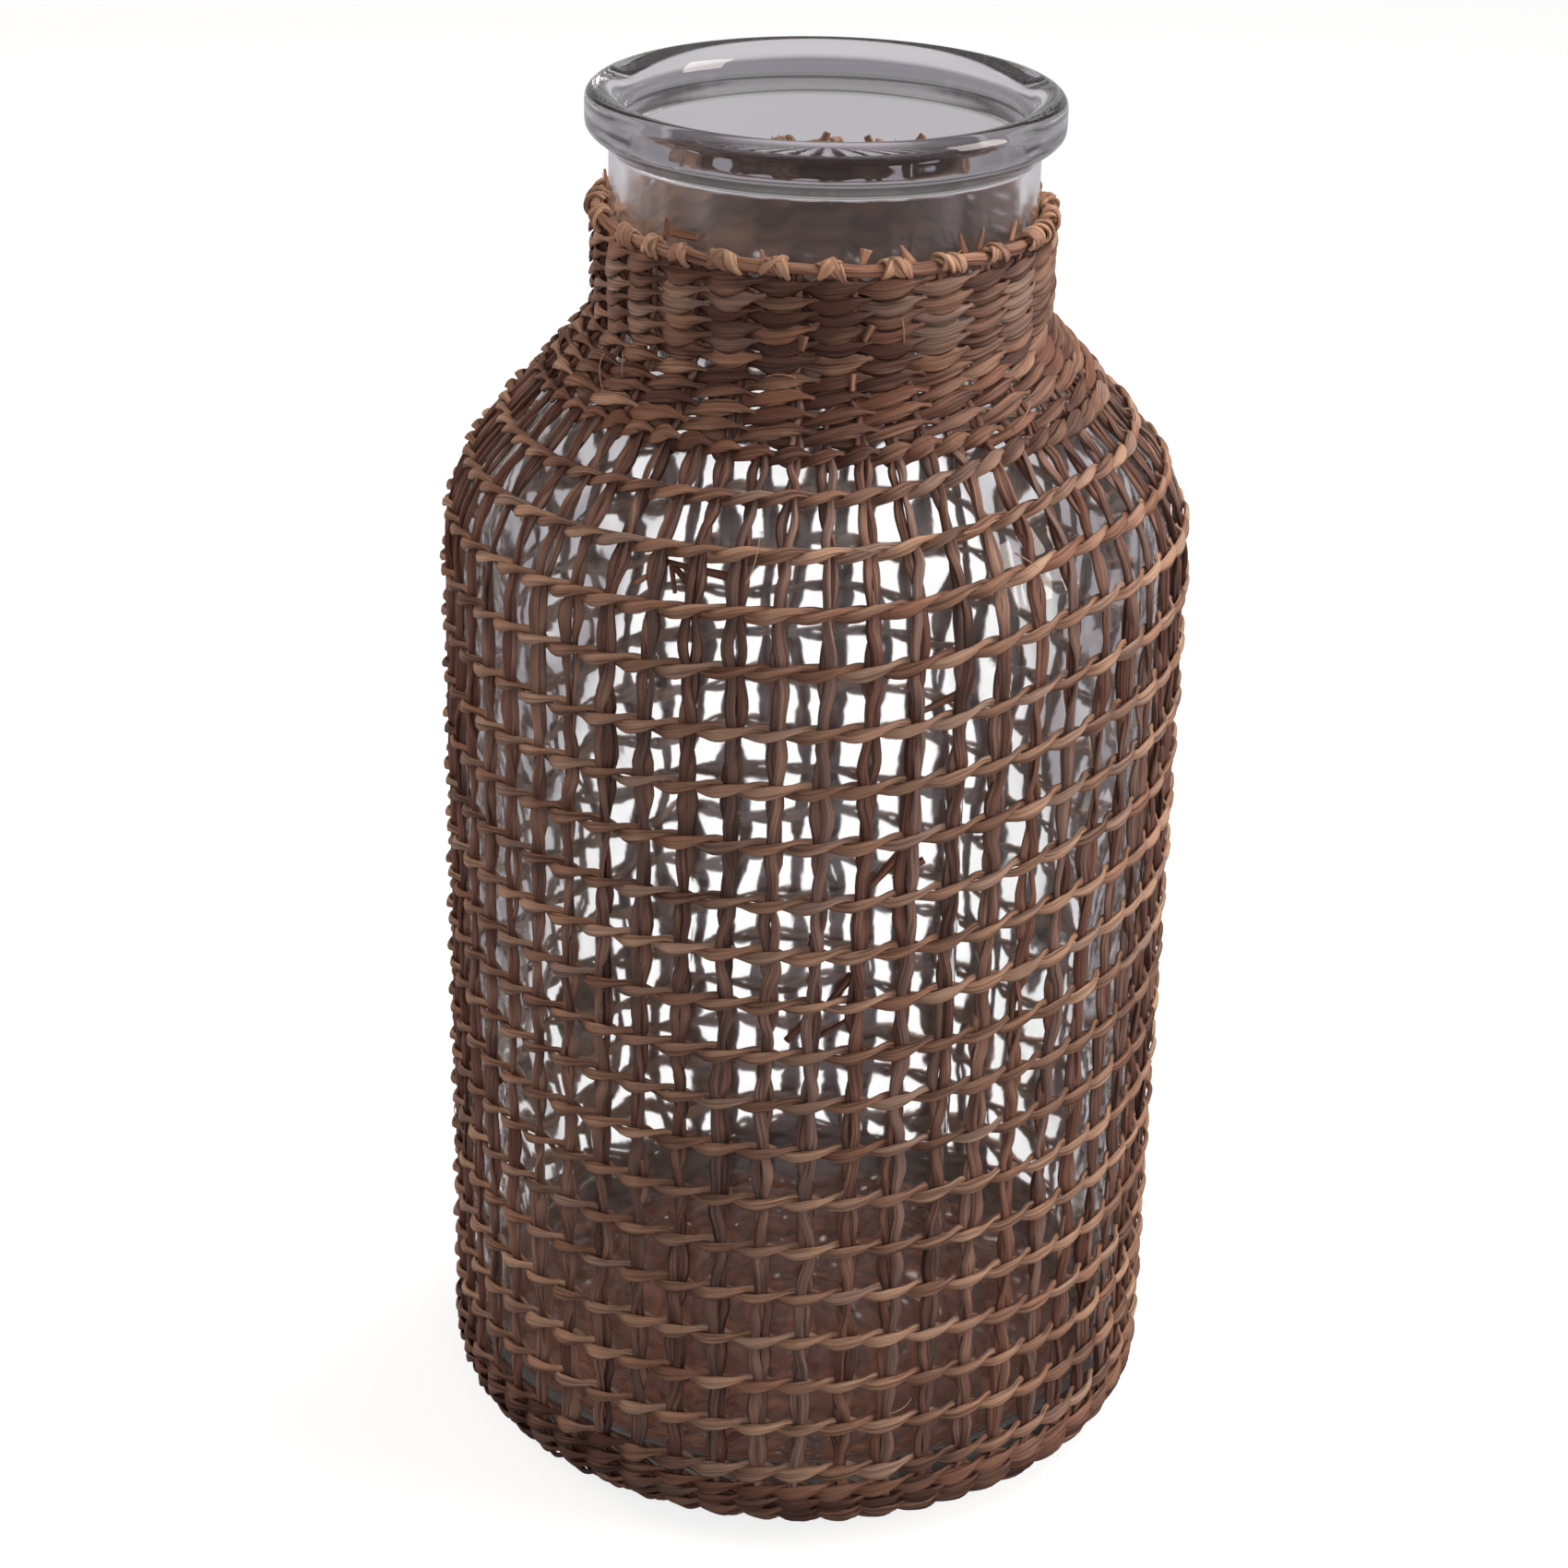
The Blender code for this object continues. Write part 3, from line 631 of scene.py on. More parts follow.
twine = {
    "depth": 2.4,  # depth of a row's middle outside the glass
    # for the open rows, the neck's close rows and the base's
    "swing": (1.12, 0.92, 0.98), "climb": (0.80, 0.52, 1.05),  # how far a strand goes out, and up
    "bow": (0.18, 0.48, 0.22),  # how far a stitch sags
    "wide": (1.30, 2.25, 1.75), "narrow": (0.86, 1.00, 1.15),  # half widths, middle and ends
    "taper": (0.2, 0.5, 0.4),  # how much narrower its upper end is than its lower one
    "thick": (0.60, 0.48, 0.56), "roll": (-0.10, -0.26, -0.18),
    "tip": (0.30, 0.46, 0.42),  # how far its upper end stands out over the next
    "stray": (0.24, 0.26, 0.22), "slip": (0.4, 0.88, 0.88),  # up or down, and along its row
    # tone: painted shade darkens the neck's close rows, and the base's rows are made darker
    "vary": (0.15, 0.22, 0.22), "tone": (0.02, -0.40, -0.28),
    "room": (3.9, 5.9),  # room between rows at which they are close, and open
    "neckFrom": 5,  # close rows below this turn are the base's
    "arch": 0.85, "archFades": (12, 24),  # neck rows this far below the border arch up instead
    "steeper": 1.2, "straighter": 0.6, "leaner": 0.26,  # the neck's stitches on the right
    # paler is painted light: it lifts the tone on the neck's left and partly its right, which lie
    # in shade
    "paler": 0.36,  # how much lighter the straw is on the neck's left, and partly on its right
    "redder": 0.35,  # how much redder it is at the neck's back
    "stouter": 0.22, "stoutFades": (160, 90),  # the lowest open stitches are wider by this share
    "lift": 0.8, "liftFrom": 4, "backFrom": 18,  # rows rise to the border from this far below it
    "strawLong": 37, "tintLong": 23,  # stitches after which the shade changes
    "steps": 8, "stepsPair": 14, "sides": 8,
}
strandRandom = np.random.default_rng(41)
strandTones = strandRandom.uniform(-1, 1, (2, 997))
strandTints = strandRandom.uniform(0, 1, (2, 991))
strandSizes = strandRandom.uniform(-1, 1, (2, 983))
strandStrays = strandRandom.uniform(-1, 1, (2, 977))
strandRolls = strandRandom.uniform(-1, 1, (2, 971))
rowStrays = strandRandom.uniform(-1, 1, 967)


# The border stands higher behind than in front, and the rows under it go up with it.
def backRise(angle):
    return 1.1 * np.clip(np.sin(angle), 0, 1) ** 1.5


# The nearest stitch count at which a strand is behind a stake, so that a splice doesn't show.
def hiddenCount(turn, strand):
    count = float(np.interp(turn, stitchTurns, stitchCounts))
    return 2 * round((count + strand - 1) / 2) + 1 - strand


# One strand of a twined row between two turns. Counting stitches by q, the strand swings out and
# in as a flattened cosine of pi q, climbs as its sine and sags by bow where it is outside, so a
# stitch is a leaf with a round lower edge, whose narrow upper right tip lies over the start of the
# next. The other strand is half a wave behind.
def twinedStrand(firstTurn, lastTurn, strand, bundle, steps=0, sides=0, toneShift=0.0):
    firstCount, lastCount = hiddenCount(firstTurn, strand), hiddenCount(lastTurn, strand)
    stitches = lastCount - firstCount
    spansPairs = stitches / (lastTurn - firstTurn) < 1.5 * weave["stakePairs"]
    steps = steps or twine["stepsPair" if spansPairs else "steps"]
    q = np.linspace(firstCount, lastCount, max(3, int(round(stitches * steps)) + 1))
    turn = np.interp(q, stitchCounts, stitchTurns)
    angle, middle = rowAngle(turn), rowDistance(turn)
    above = np.where(turn + 1 > openTurns + neckTurns, weave["neckPitch"],
                     rowDistance(turn + 1) - middle)
    free = evenStep(np.minimum(middle - rowDistance(turn - 1), above), *twine["room"])
    onNeck = (1 - free) * (turn > twine["neckFrom"])
    right, left, behind = (np.clip(share, 0, 1) * onNeck
                           for share in (np.cos(angle), -np.cos(angle), np.sin(angle)))

    def shape(key):
        openRow, neckRow, baseRow = twine[key]
        close = np.where(turn < twine["neckFrom"], baseRow, neckRow)
        return close + (openRow - close) * free

    c, s = np.cos(math.pi * (q + strand)), np.sin(math.pi * (q + strand))
    stitch = (q + strand) / 2  # whole numbers are stitches seen from outside
    size = 1 + shape("vary") * stepped(stitch, strandSizes[strand], 0.5)
    size = size * (1 + twine["stouter"] * free * softStep(middle, *twine["stoutFades"]))
    size = size * (1 - twine["leaner"] * right)
    depth = (twine["depth"] + shape("swing") * c * (1.5 - 0.5 * c * c) + shape("tip") * s
             + 0.10 * stepped(q, strandStrays[strand]))
    stray = stepped(q * 0.5, rowStrays) + 0.5 * stepped(q, strandStrays[1 - strand])
    below = borderStart - middle
    bow = shape("bow") - twine["arch"] * softStep(below, *twine["archFades"]) * onNeck
    raised = (twine["lift"] * softStep(below, twine["liftFrom"], 0)
              + backRise(angle) * softStep(below, twine["backFrom"], 0))
    along = (middle + shape("climb") * (1 + twine["steeper"] * right) * s
             - bow * (1 - twine["straighter"] * right) * c + shape("stray") * stray + raised)
    leaf = (shape("narrow") * (1 - shape("taper") * s)
            + (shape("wide") - shape("narrow")) * np.abs(c) ** 1.5)
    slip = shape("slip") * stepped(stitch, strandRolls[1 - strand], 0.6)
    path, up, _ = inSpace(along, depth, angle + slip / onOutline(along, depth)[0])
    roll = shape("roll") * c + 0.2 * stepped(q, strandRolls[strand])
    creaseAt = q * 0.5 + 3 * stepped(stitch, strandRolls[1 - strand], 0.5)
    tube = strawTube(path, up, leaf * size, shape("thick") * (0.75 + 0.25 * size),
                     sides or twine["sides"], roll=roll, crease=0.10, creaseAt=creaseAt)
    straw = stepped(q / twine["strawLong"] + 5 * strand, strandTones[strand], 0.1)
    # painted shade: 0.10 s s darkens a strand where it crosses the other between stitches
    tone = (0.5 + toneShift + shape("tone") + twine["paler"] * (left + 0.6 * right)
            + 0.18 * stepped(stitch, strandTones[1 - strand], 0.35) + 0.14 * straw - 0.10 * s * s)
    tint = (0.4 * stepped(stitch, strandTints[strand], 0.35) - twine["redder"] * behind
            + 0.6 * stepped(q / twine["tintLong"], strandTints[1 - strand], 0.1))
    addStraw(bundle, tube, tone, tint, offset=firstCount * 9.0 + strand * 500)


# The rows between two stakes of the helix, cut evenly into pieces.
def buildRows(name, node, firstStep, lastStep, pieces, material):
    for number in range(pieces):
        turns = [(firstStep + round((lastStep - firstStep) * part / pieces)) / weave["stakePairs"]
                 for part in (number, number + 1)]
        bundle = newBundle()
        for strand in (0, 1):
            twinedStrand(*turns, strand, bundle)
        buildBundle(bundle, f"{name}_{number + 1:02d}", material,
                    [f"{node}_{number + 1:02d}"])


stakes = {
    "halfWidth": 1.40, "halfThick": 0.50, "depth": 2.15,
    "apart": 0.24,  # half of what keeps a stake's two straws apart in depth
    "pinched": (0.4, 0.75), "spread": (0.2, 0.8),  # how far aside they lie, at and between rows
    "waist": 0.78,  # how narrow a row draws a straw in, as a share of its width
    "slender": 0.72, "slenderFrom": (205, 230),  # width on the shoulder, as a share of the wall's
    # tone is low partly as painted shade, as the stakes lie behind and under the rows
    "cup": 0.22, "turning": 0.85, "crease": 0.15, "tone": 0.38,
    "lean": 1.0, "leanFrom": (110, 200),  # degrees that the tops lean sideways, at these heights
    "crossing": 0.5,  # share of the gaps in which a stake's two straws change sides
    "gaps": (3, 8),  # gap between rows at which the straws lie together, and bulge fully
    "joins": (-12, 10), "joined": 1.45,  # where two stakes join at the neck's foot, and how close
    "stepsOpen": 7, "stepsClose": 3, "openGap": 5,  # steps in gaps wider than this, and narrower
    "sides": 8,
}


# Distances at which the twined row crosses a stake.
def crossings(angle):
    return rowDistance(np.arange(-baseTurns, openTurns + neckTurns) + turnAt(angle) % 1)


# Four straws, two for each of a pair's two stakes. Between rows a stake's straws splay, lie side
# by side or change sides; at each row they are drawn together. At the neck the stakes join.
def buildStakePair(number, material):
    pick = np.random.default_rng(700 + number).uniform
    bundle = newBundle()
    top = borderStart + 0.5
    for which in (-1, 1):
        stakeAngle = firstPair + pairPitch * number + which * pairPitch / 4
        rows = crossings(stakeAngle)
        rows = np.concatenate([[matEdge], rows[(rows > matEdge) & (rows < top)], [top]])
        gaps = np.diff(rows)
        count = len(rows)
        steps = [stakes["stepsOpen" if gap > stakes["openGap"] else "stepsClose"] for gap in gaps]
        r = np.concatenate([np.linspace(i, i + 1, step, endpoint=False)
                            for i, step in enumerate(steps)] + [[count - 1.0]])
        distance = np.interp(r, np.arange(count), rows)
        openGap = evenStep(np.interp(r, np.arange(count - 1) + 0.5, gaps), *stakes["gaps"])
        skews = pick(0.5, 1.9, count)[np.minimum(np.floor(r).astype(int), count - 1)]
        belly = np.sin(math.pi * (r - np.floor(r)) ** skews) ** 2 * openGap
        signs = np.cumprod(np.where(pick(0, 1, count) < stakes["crossing"], -1, 1))
        side = stepped(r, signs * pick(0.75, 1.25, count))
        jitter = stepped(r, pick(-1, 1, count))
        jitterBetween = stepped(r + 0.5, pick(-1, 1, count))
        radius, height, _ = onOutline(distance, stakes["depth"])
        lean = np.radians(stakes["lean"]) * evenStep(height, *stakes["leanFrom"])
        joining = softStep(distance - slopeEnd, *stakes["joins"])
        sideways = ((stakeAngle + lean) * radius
                    - joining * which * (pairPitch / 4 * radius - stakes["joined"])
                    + (0.35 * jitter + 0.25 * jitterBetween) * (1 - joining))
        reach = (stepped(r, pick(*stakes["pinched"], count))
                 + stepped(r + 0.5, pick(*stakes["spread"], count)) * belly) * (1 - 0.25 * joining)
        for straw in (-1, 1):
            own = (sideways + straw * reach * side) / radius
            apart = stakes["apart"] * (1 + (1 - np.abs(side)).clip(0, 1))
            depth = stakes["depth"] + straw * apart + 0.14 * jitterBetween * openGap
            half = stakes["halfWidth"] * between((stakes["waist"], 1), np.sqrt(belly))
            half = half * stepped(r + 0.5, pick(0.85, 1.15, count))
            half = half * between((1, stakes["slender"]), softStep(height, *stakes["slenderFrom"]))
            turning = stepped(r + pick(0, 1), pick(-1, 1, count + 1), 0.8) * stakes["turning"]
            tube = strawTube(inSpace(distance, depth, own)[0], atAngle(own, 0, 1, 0), half,
                             stakes["halfThick"] * pick(0.85, 1.15), stakes["sides"],
                             roll=turning * (1 - joining), crease=stakes["crease"],
                             creaseAt=r * 0.6 + pick(0, 6), cup=-stakes["cup"])
            # painted shade: 0.2 belly darkens a stake at each row it passes under
            tone = (stakes["tone"] + pick(-0.2, 0.2) + 0.16 * stepped(r + 0.5, pick(-1, 1, count))
                    + 0.2 * belly)
            addStraw(bundle, tube, tone, pick(0, 1), offset=pick(0, 900))
    buildBundle(bundle, f"straw_stakes_{number + 1:02d}", material,
                [f"stake_pair_{number + 1:02d}"])


mat = {
    "outerFrom": 38.0, "pairFrom": 17.0, "innerFrom": 2.5,  # radii at which the spokes start
    "spokeHalf": 1.05, "spokeThick": 0.5, "spokeDepth": 2.4, "crossLong": 8.5, "crossDepth": 3.3,
    "crossHalf": 0.95, "crossThick": 0.5, "crossPitch": 2.1, "crossLayer": 0.62,
    "steps": 6, "sides": 6,
}


# The disc under the jar: spokes, the same two twined strands in a close spiral, and a cross of
# straws at the middle where the spokes start.
def buildMat(material):
    pick = np.random.default_rng(88).uniform
    bundle = newBundle()
    for strand in (0, 1):
        twinedStrand(1 - baseTurns - weave["matTurns"], -baseTurns - 0.002, strand, bundle,
                     mat["steps"], mat["sides"], toneShift=-0.04)
    pairs, outer, inner = weave["stakePairs"], mat["outerFrom"], mat["pairFrom"]
    spokes = [(firstPair + stakePitch * (k - 0.5), outer, matEdge - 0.2, 1.3)
              for k in range(2 * pairs)]
    spokes += [(firstPair + pairPitch * k, inner, outer + 4, 1.5) for k in range(pairs)]
    spokes += [(firstPair + 3 * pairPitch * k, mat["innerFrom"], inner + 3, 1.5)
               for k in range(pairs // 3)]
    for angle, start, end, widen in spokes:
        distance = np.linspace(start, end, max(4, int((end - start) / 2.2)))
        own = angle + 0.3 * np.sin(distance * 0.4 + pick(0, 6)) / np.maximum(distance, 1)
        path = inSpace(distance, mat["spokeDepth"], own)[0]
        tube = strawTube(path, atAngle(own, 0, 1, 0), mat["spokeHalf"] * widen,
                         mat["spokeThick"], crease=0.12, creaseAt=pick(0, 6))
        addStraw(bundle, tube, 0.42 + pick(-0.12, 0.15), pick(0, 1), offset=pick(0, 900))
    along = np.linspace(-mat["crossLong"], mat["crossLong"], 25)
    level = jarOutline["glassBottom"] - mat["crossDepth"]
    for angle, onward, layer in ((math.pi / 2, -1, 1), (0, 1, -1)):
        for k in range(4):
            height = level + layer * mat["crossLayer"] * (1 if k % 2 == 0 else 0.8)
            path = atAngle(angle, along, onward * (k - 1.5) * mat["crossPitch"], height)
            flat = atAngle(angle, np.zeros(25), onward, 0)
            tube = strawTube(path, flat, mat["crossHalf"], mat["crossThick"], crease=0.12,
                             creaseAt=k)
            addStraw(bundle, tube, 0.45 + pick(-0.1, 0.15), pick(0, 1), offset=k * 50)
    buildBundle(bundle, "woven_straw_base", material, ["base_mat"])


border = {
    "depth": 2.35, "height": 274.8,
    "cordHalf": 1.32, "cordThick": 1.12, "cordSides": 12, "cordTone": 0.40,
    "tilt": 1.9, "tuck": 1.8,  # how far a cord falls from knot to knot, and runs in under them
    "wrapReach": 1.42, "wrapThick": 0.46, "knotTone": 0.46,
    # degrees that a knot stands off its pair of stakes, where it isn't left to chance
    "shift": {0: -2.5, 26: -2.7, 25: -2.0, 24: -1.0, 23: 3.3, 22: 6, 1: -0.6, 2: 0.8, 3: 2.0, 4: 5},
    # each wrap of a knot: where it starts and ends round the cord, and along it; half its width
    "wraps": [((205, -50), (-3.0, 2.2), 1.9), ((150, -40), (2.4, -2.6), 1.4),
              ((185, -60), (-1.0, 3.4), 1.4), ((160, -50), (-3.2, 0.6), 1.1)],
    # stakes' cut ends: degrees, height, lean from upright, length, half widths at the foot and
    # the end, depth outside the glass, tone
    "ends": [
        (-80.5, 275.6, 12, 3.4, 0.55, 1.25, 1.6, 0.62), (-67.5, 275, -32, 4.8, 1.2, 0.35, 1, 0.5),
        (-131.5, 278.4, 88, 7.2, 0.8, 0.8, 0.9, 0.2),
        (-133.5, 276.4, 16, 4.6, 0.6, 0.75, 0.9, 0.15),
        (-52, 275.8, -24, 4.6, 0.7, 0.3, 1.2, 0.3), (-47.5, 276, 8, 4.4, 0.8, 0.4, 1.2, 0.35),
        (-35, 276, 14, 4, 0.9, 0.5, 1.4, 0.55), (-104, 276, -10, 2.4, 0.6, 0.3, 2.6, 0.55),
        (20, 276, 20, 4.5, 0.8, 0.4, 1.2, 0.5), (47, 275.8, -30, 5.2, 1, 0.5, 1, 0.4),
        (64.5, 276.8, -32, 4.6, 1.1, 0.9, 1.2, 0.45), (76.5, 276.8, 30, 2.9, 1, 0.8, 1, 0.3),
        (90.5, 276.8, -20, 2.9, 1, 0.8, 1.1, 0.3), (108, 276.6, 16, 1.6, 0.8, 0.4, 1.2, 0.5),
        (139, 276, -14, 4.4, 0.8, 0.4, 1.2, 0.45), (171, 276, 24, 4.6, 0.9, 0.5, 1.2, 0.4),
    ],
}
borderRadius = jarOutline["neckRadius"] + border["depth"]


# A path at the border: depth outside the glass, height, and angle round the neck.
def roundNeck(depth, height, angle):
    return atAngle(angle, jarOutline["neckRadius"] + depth, 0, height)


# A length of bent stake laid from behind one knot down under the next, thickest halfway.
def layCord(bundle, pick, pair, start, end):
    w = np.linspace(0, 1, 26)
    tuck = border["tuck"] / borderRadius
    angle = start - tuck + (end - start + 2 * tuck) * w
    wave = 0.16 * np.sin(fullTurn * w * pick(0.8, 1.6) + pick(0, 6))
    size = pick(0.88, 1.12) * (0.86 + 0.14 * np.sin(math.pi * w) + 0.04 * np.sin(9 * w + pair))
    fall = border["tilt"] * (0.5 - w) * pick(0.4, 1.2)
    path = roundNeck(border["depth"] + 0.35 * np.cos(math.pi * w),
                     border["height"] + fall + wave + backRise(angle), angle)
    tube = strawTube(path, atAngle(angle, 0, 0, 1), border["cordHalf"] * size,
                     border["cordThick"] * size, border["cordSides"], roll=pick(-0.5, 0.5),
                     crease=0.10, creaseAt=2 * w + pair)
    # painted shade: the cord is darker at both ends, where it runs in under the knots
    tone = border["cordTone"] + pick(-0.12, 0.14) - 0.25 * np.abs(2 * w - 1) ** 6
    addStraw(bundle, tube, tone, pick(0.1, 0.5), offset=pair * 31)


# Flat straws folded over the cord from the upper left to the lower right. A wrap runs round the
# cord as cosine and sine of its way, slides along it and narrows to both its ends.
def tieKnot(bundle, pick, pair, centre, wraps):
    w = np.linspace(0, 1, 24)
    spread, slope = pick(0.85, 1.2), pick(0.7, 1.15)
    for number, (around, slide, half) in enumerate(wraps):
        way = np.radians(between(around, w) + pick(-14, 14))
        reach = (border["wrapReach"] * spread + 0.2 * number
                 + 0.16 * np.sin(fullTurn * w * pick(0.8, 2.0) + pick(0, 6)))
        along = between(slide, w) * slope + pick(-0.3, 0.3)
        path = roundNeck(border["depth"] + reach * np.cos(way),
                         border["height"] + reach * np.sin(way) * 1.05 + backRise(centre),
                         centre + along / borderRadius)
        outward = atAngle(centre, np.cos(way), 0, np.sin(way))
        flat = np.cross(outward, unit(np.gradient(path, axis=0)))
        leaf = half * pick(0.75, 1.2) * (0.35 + 0.65 * np.sin(math.pi * w ** pick(0.6, 1.3)))
        tube = strawTube(path, flat, leaf, border["wrapThick"], roll=pick(-0.5, 0.5), crease=0.14,
                         creaseAt=3 * w + number, cup=pick(-0.25, 0.05))
        # painted light: a wrap is lighter midway, over the top of the cord, than at its tucked ends
        tone = border["knotTone"] + pick(-0.14, 0.22) + 0.1 * np.sin(math.pi * w)
        addStraw(bundle, tube, tone, pick(0.2, 0.8), offset=pair * 40 + number * 7)


# Thin fibres that stand up from a knot.
def frayKnot(bundle, pick, pair, centre, fibres):
    w = np.linspace(0, 1, 6)
    for _ in range(fibres):
        lean, length = pick(-1.2, 1.2), pick(1.4, 3.0)
        angle = centre + (pick(-1.5, 1.5) + length * w * math.sin(lean)) / borderRadius
        rise = 1.1 + backRise(angle) + length * w * math.cos(lean) * 0.7
        path = roundNeck(border["depth"] + pick(0.2, 1.2) + 0.8 * w * w, border["height"] + rise,
                         angle)
        tube = strawTube(path, atAngle(angle, 0, 1, 0), between((0.24, 0.08), w), 0.12, 5,
                         crease=0.0)
        addStraw(bundle, tube, 0.7, 0.5, offset=pair)


# The top edge: bent stakes laid end to end round the neck, knots folded over where they meet, and
# stakes' ends that stand up behind them.
def buildBorder(material):
    rng = np.random.default_rng(17)
    pick = rng.uniform
    bundle = newBundle()
    pairs = weave["stakePairs"]
    shifts = [border["shift"].get(pair, pick(-1.4, 1.4)) for pair in range(pairs)]
    centres = firstPair + np.arange(pairs) * pairPitch + np.radians(shifts)
    ends = np.append(centres[1:], centres[0] + fullTurn)
    for pair in range(pairs):
        layCord(bundle, pick, pair, centres[pair], ends[pair])
        tieKnot(bundle, pick, pair, centres[pair], border["wraps"][:int(rng.integers(3, 5))])
        frayKnot(bundle, pick, pair, centres[pair], int(rng.integers(1, 4)))
    w = np.linspace(0, 1, 9)
    for degrees, foot, lean, length, halfFoot, halfEnd, depth, tone in border["ends"]:
        lean = math.radians(lean)
        angle = math.radians(degrees) + length * w * math.sin(lean) / borderRadius
        path = roundNeck(depth + 0.25 * w, foot + length * w * math.cos(lean), angle)
        flat = atAngle(angle, 0, math.cos(lean), -math.sin(lean))
        tube = strawTube(path, flat, between((halfFoot, halfEnd), w), 0.3, crease=0.12, cup=0.12)
        addStraw(bundle, tube, tone, pick(0.1, 0.5), offset=degrees)
    buildBundle(bundle, "bound_straw_border", material, ["top_border"])


strayEnds = {
    # flat ends of spliced straws behind the rows: degrees and millimetres below the border at
    # each end, half widths at each end, depth outside the glass, tone
    "splices": [
        (-113.5, 60.2, -102.6, 61.6, 0.5, 0.95, 1.2, 0.02),
        (-112.5, 60.6, -107.6, 65.8, 0.6, 0.75, 0.9, 0.05),
        (-112.6, 60.8, -111.2, 66.4, 0.6, 0.4, 1, 0.1),
        (-113.2, 60.4, -118.2, 66, 0.4, 0.7, 0.9, 0.5),
        (-75.6, 90.4, -65.6, 85.4, 0.5, 1.15, 1, 0.08),
        (-81, 127.4, -75.6, 119.4, 0.7, 1.3, 1, 0.08),
        (-77, 125.4, -72.2, 121.8, 0.5, 0.9, 0.7, 0.04),
        (-87, 154.2, -82.6, 146.2, 0.6, 1.1, 1, 0.08),
        (-92.4, 161.6, -86.8, 152.6, 0.8, 0.8, 0.7, 0.12),
        (-87.6, 160.4, -82.8, 156.2, 0.6, 0.5, 0.8, 0.06),
        (-103, 254.4, -99.6, 248.8, 0.5, 0.8, 1, 0.02),
        (-103.4, 263, -97.6, 256.8, 0.7, 0.9, 1, 0.1),
        (64, 72, 71, 66, 0.6, 1.1, 1, 0.1), (98, 110, 104, 117, 0.6, 1.1, 1, 0.08),
        (131, 168, 137, 160, 0.6, 1, 1, 0.1), (20, 200, 26, 206, 0.6, 1, 1, 0.1),
        (170, 226, 176, 219, 0.6, 1, 1, 0.1), (-20, 150, -14, 144, 0.6, 1, 1, 0.1),
        (-150, 195, -144, 188, 0.6, 1, 1, 0.1),
    ],
    # frayed stubs that stand out of the close neck rows, in the same form
    "stubs": [
        (-94.4, 14.2, -93.6, 11.2, 0.7, 1, 4.2, 0.3), (-79.8, 12.2, -78, 9, 0.5, 1, 4.2, 0.32),
        (-82.6, 22.6, -82.2, 18.8, 0.5, 0.8, 4.1, 0.45), (38, 16, 40, 11, 0.8, 1.1, 4.2, 0.5),
        (118, 24, 117, 19, 0.8, 1.1, 4.2, 0.5),
    ],
    # loose fibres: degrees, height, length, lean in degrees, how far it stands out
    "fibres": [
        (-100, 219, 9, 62, 1.6), (-84, 225, 5, -24, 1.4), (-66, 226, 8, 4, 1.2),
        (-58, 222, 5, -60, 1.8), (-142, 243, 7, 118, 3.2), (-139, 246, 5, 80, 2.5),
        (-70, 260, 6, 100, 1.5), (-48, 240, 7, 20, 2.2), (-95, 252, 6, 150, 1.3),
        (30, 150, 8, 35, 2), (75, 230, 8, 120, 2.2), (120, 90, 7, 60, 1.8), (-25, 200, 6, 75, 2.2),
        (165, 190, 8, 30, 2), (-160, 70, 7, 110, 1.8), (-75, 33, 6, 20, 1.2),
    ],
    "stripThick": 0.36, "fibreFrom": 3.6, "fibreThick": 0.12,
}


# Strips laid straight from one place on the sleeve to another, and thin fibres that bend outwards.
def buildEnds(material):
    pick = np.random.default_rng(53).uniform
    bundle = newBundle()
    w = np.linspace(0, 1, 11)
    for row in strayEnds["splices"] + strayEnds["stubs"]:
        first, firstDown, last, lastDown, half, halfEnd, depth, tone = row
        path, _, out = inSpace(borderStart - between((firstDown, lastDown), w), depth,
                               np.radians(between((first, last), w)))
        across = np.cross(out, unit(np.gradient(path, axis=0)))
        tube = strawTube(path, across, between((half, halfEnd), w), strayEnds["stripThick"],
                         crease=0.08, cup=0.1)
        addStraw(bundle, tube, tone + pick(-0.02, 0.05), pick(0.0, 0.35), offset=first)
    along, _, heights, _ = outlineTable[:, runSteps:]  # past the underside heights only go up
    w = np.linspace(0, 1, 14)
    for degrees, height, length, lean, out in strayEnds["fibres"]:
        way = math.radians(lean) + pick(-0.5, 0.5) * w
        distance = np.interp(height, heights, along) + length * w * np.sin(way)
        depth = strayEnds["fibreFrom"] + out * np.sin(math.pi * 0.6 * w)
        own = math.radians(degrees) + length * w * np.cos(way) / onOutline(distance, depth)[0]
        path, up, _ = inSpace(distance, depth, own)
        tube = strawTube(path, up, between((0.22, 0.08), w), strayEnds["fibreThick"], 5, crease=0.0)
        addStraw(bundle, tube, 0.75, 0.3, offset=degrees)
    buildBundle(bundle, "cut_straw_ends", material)


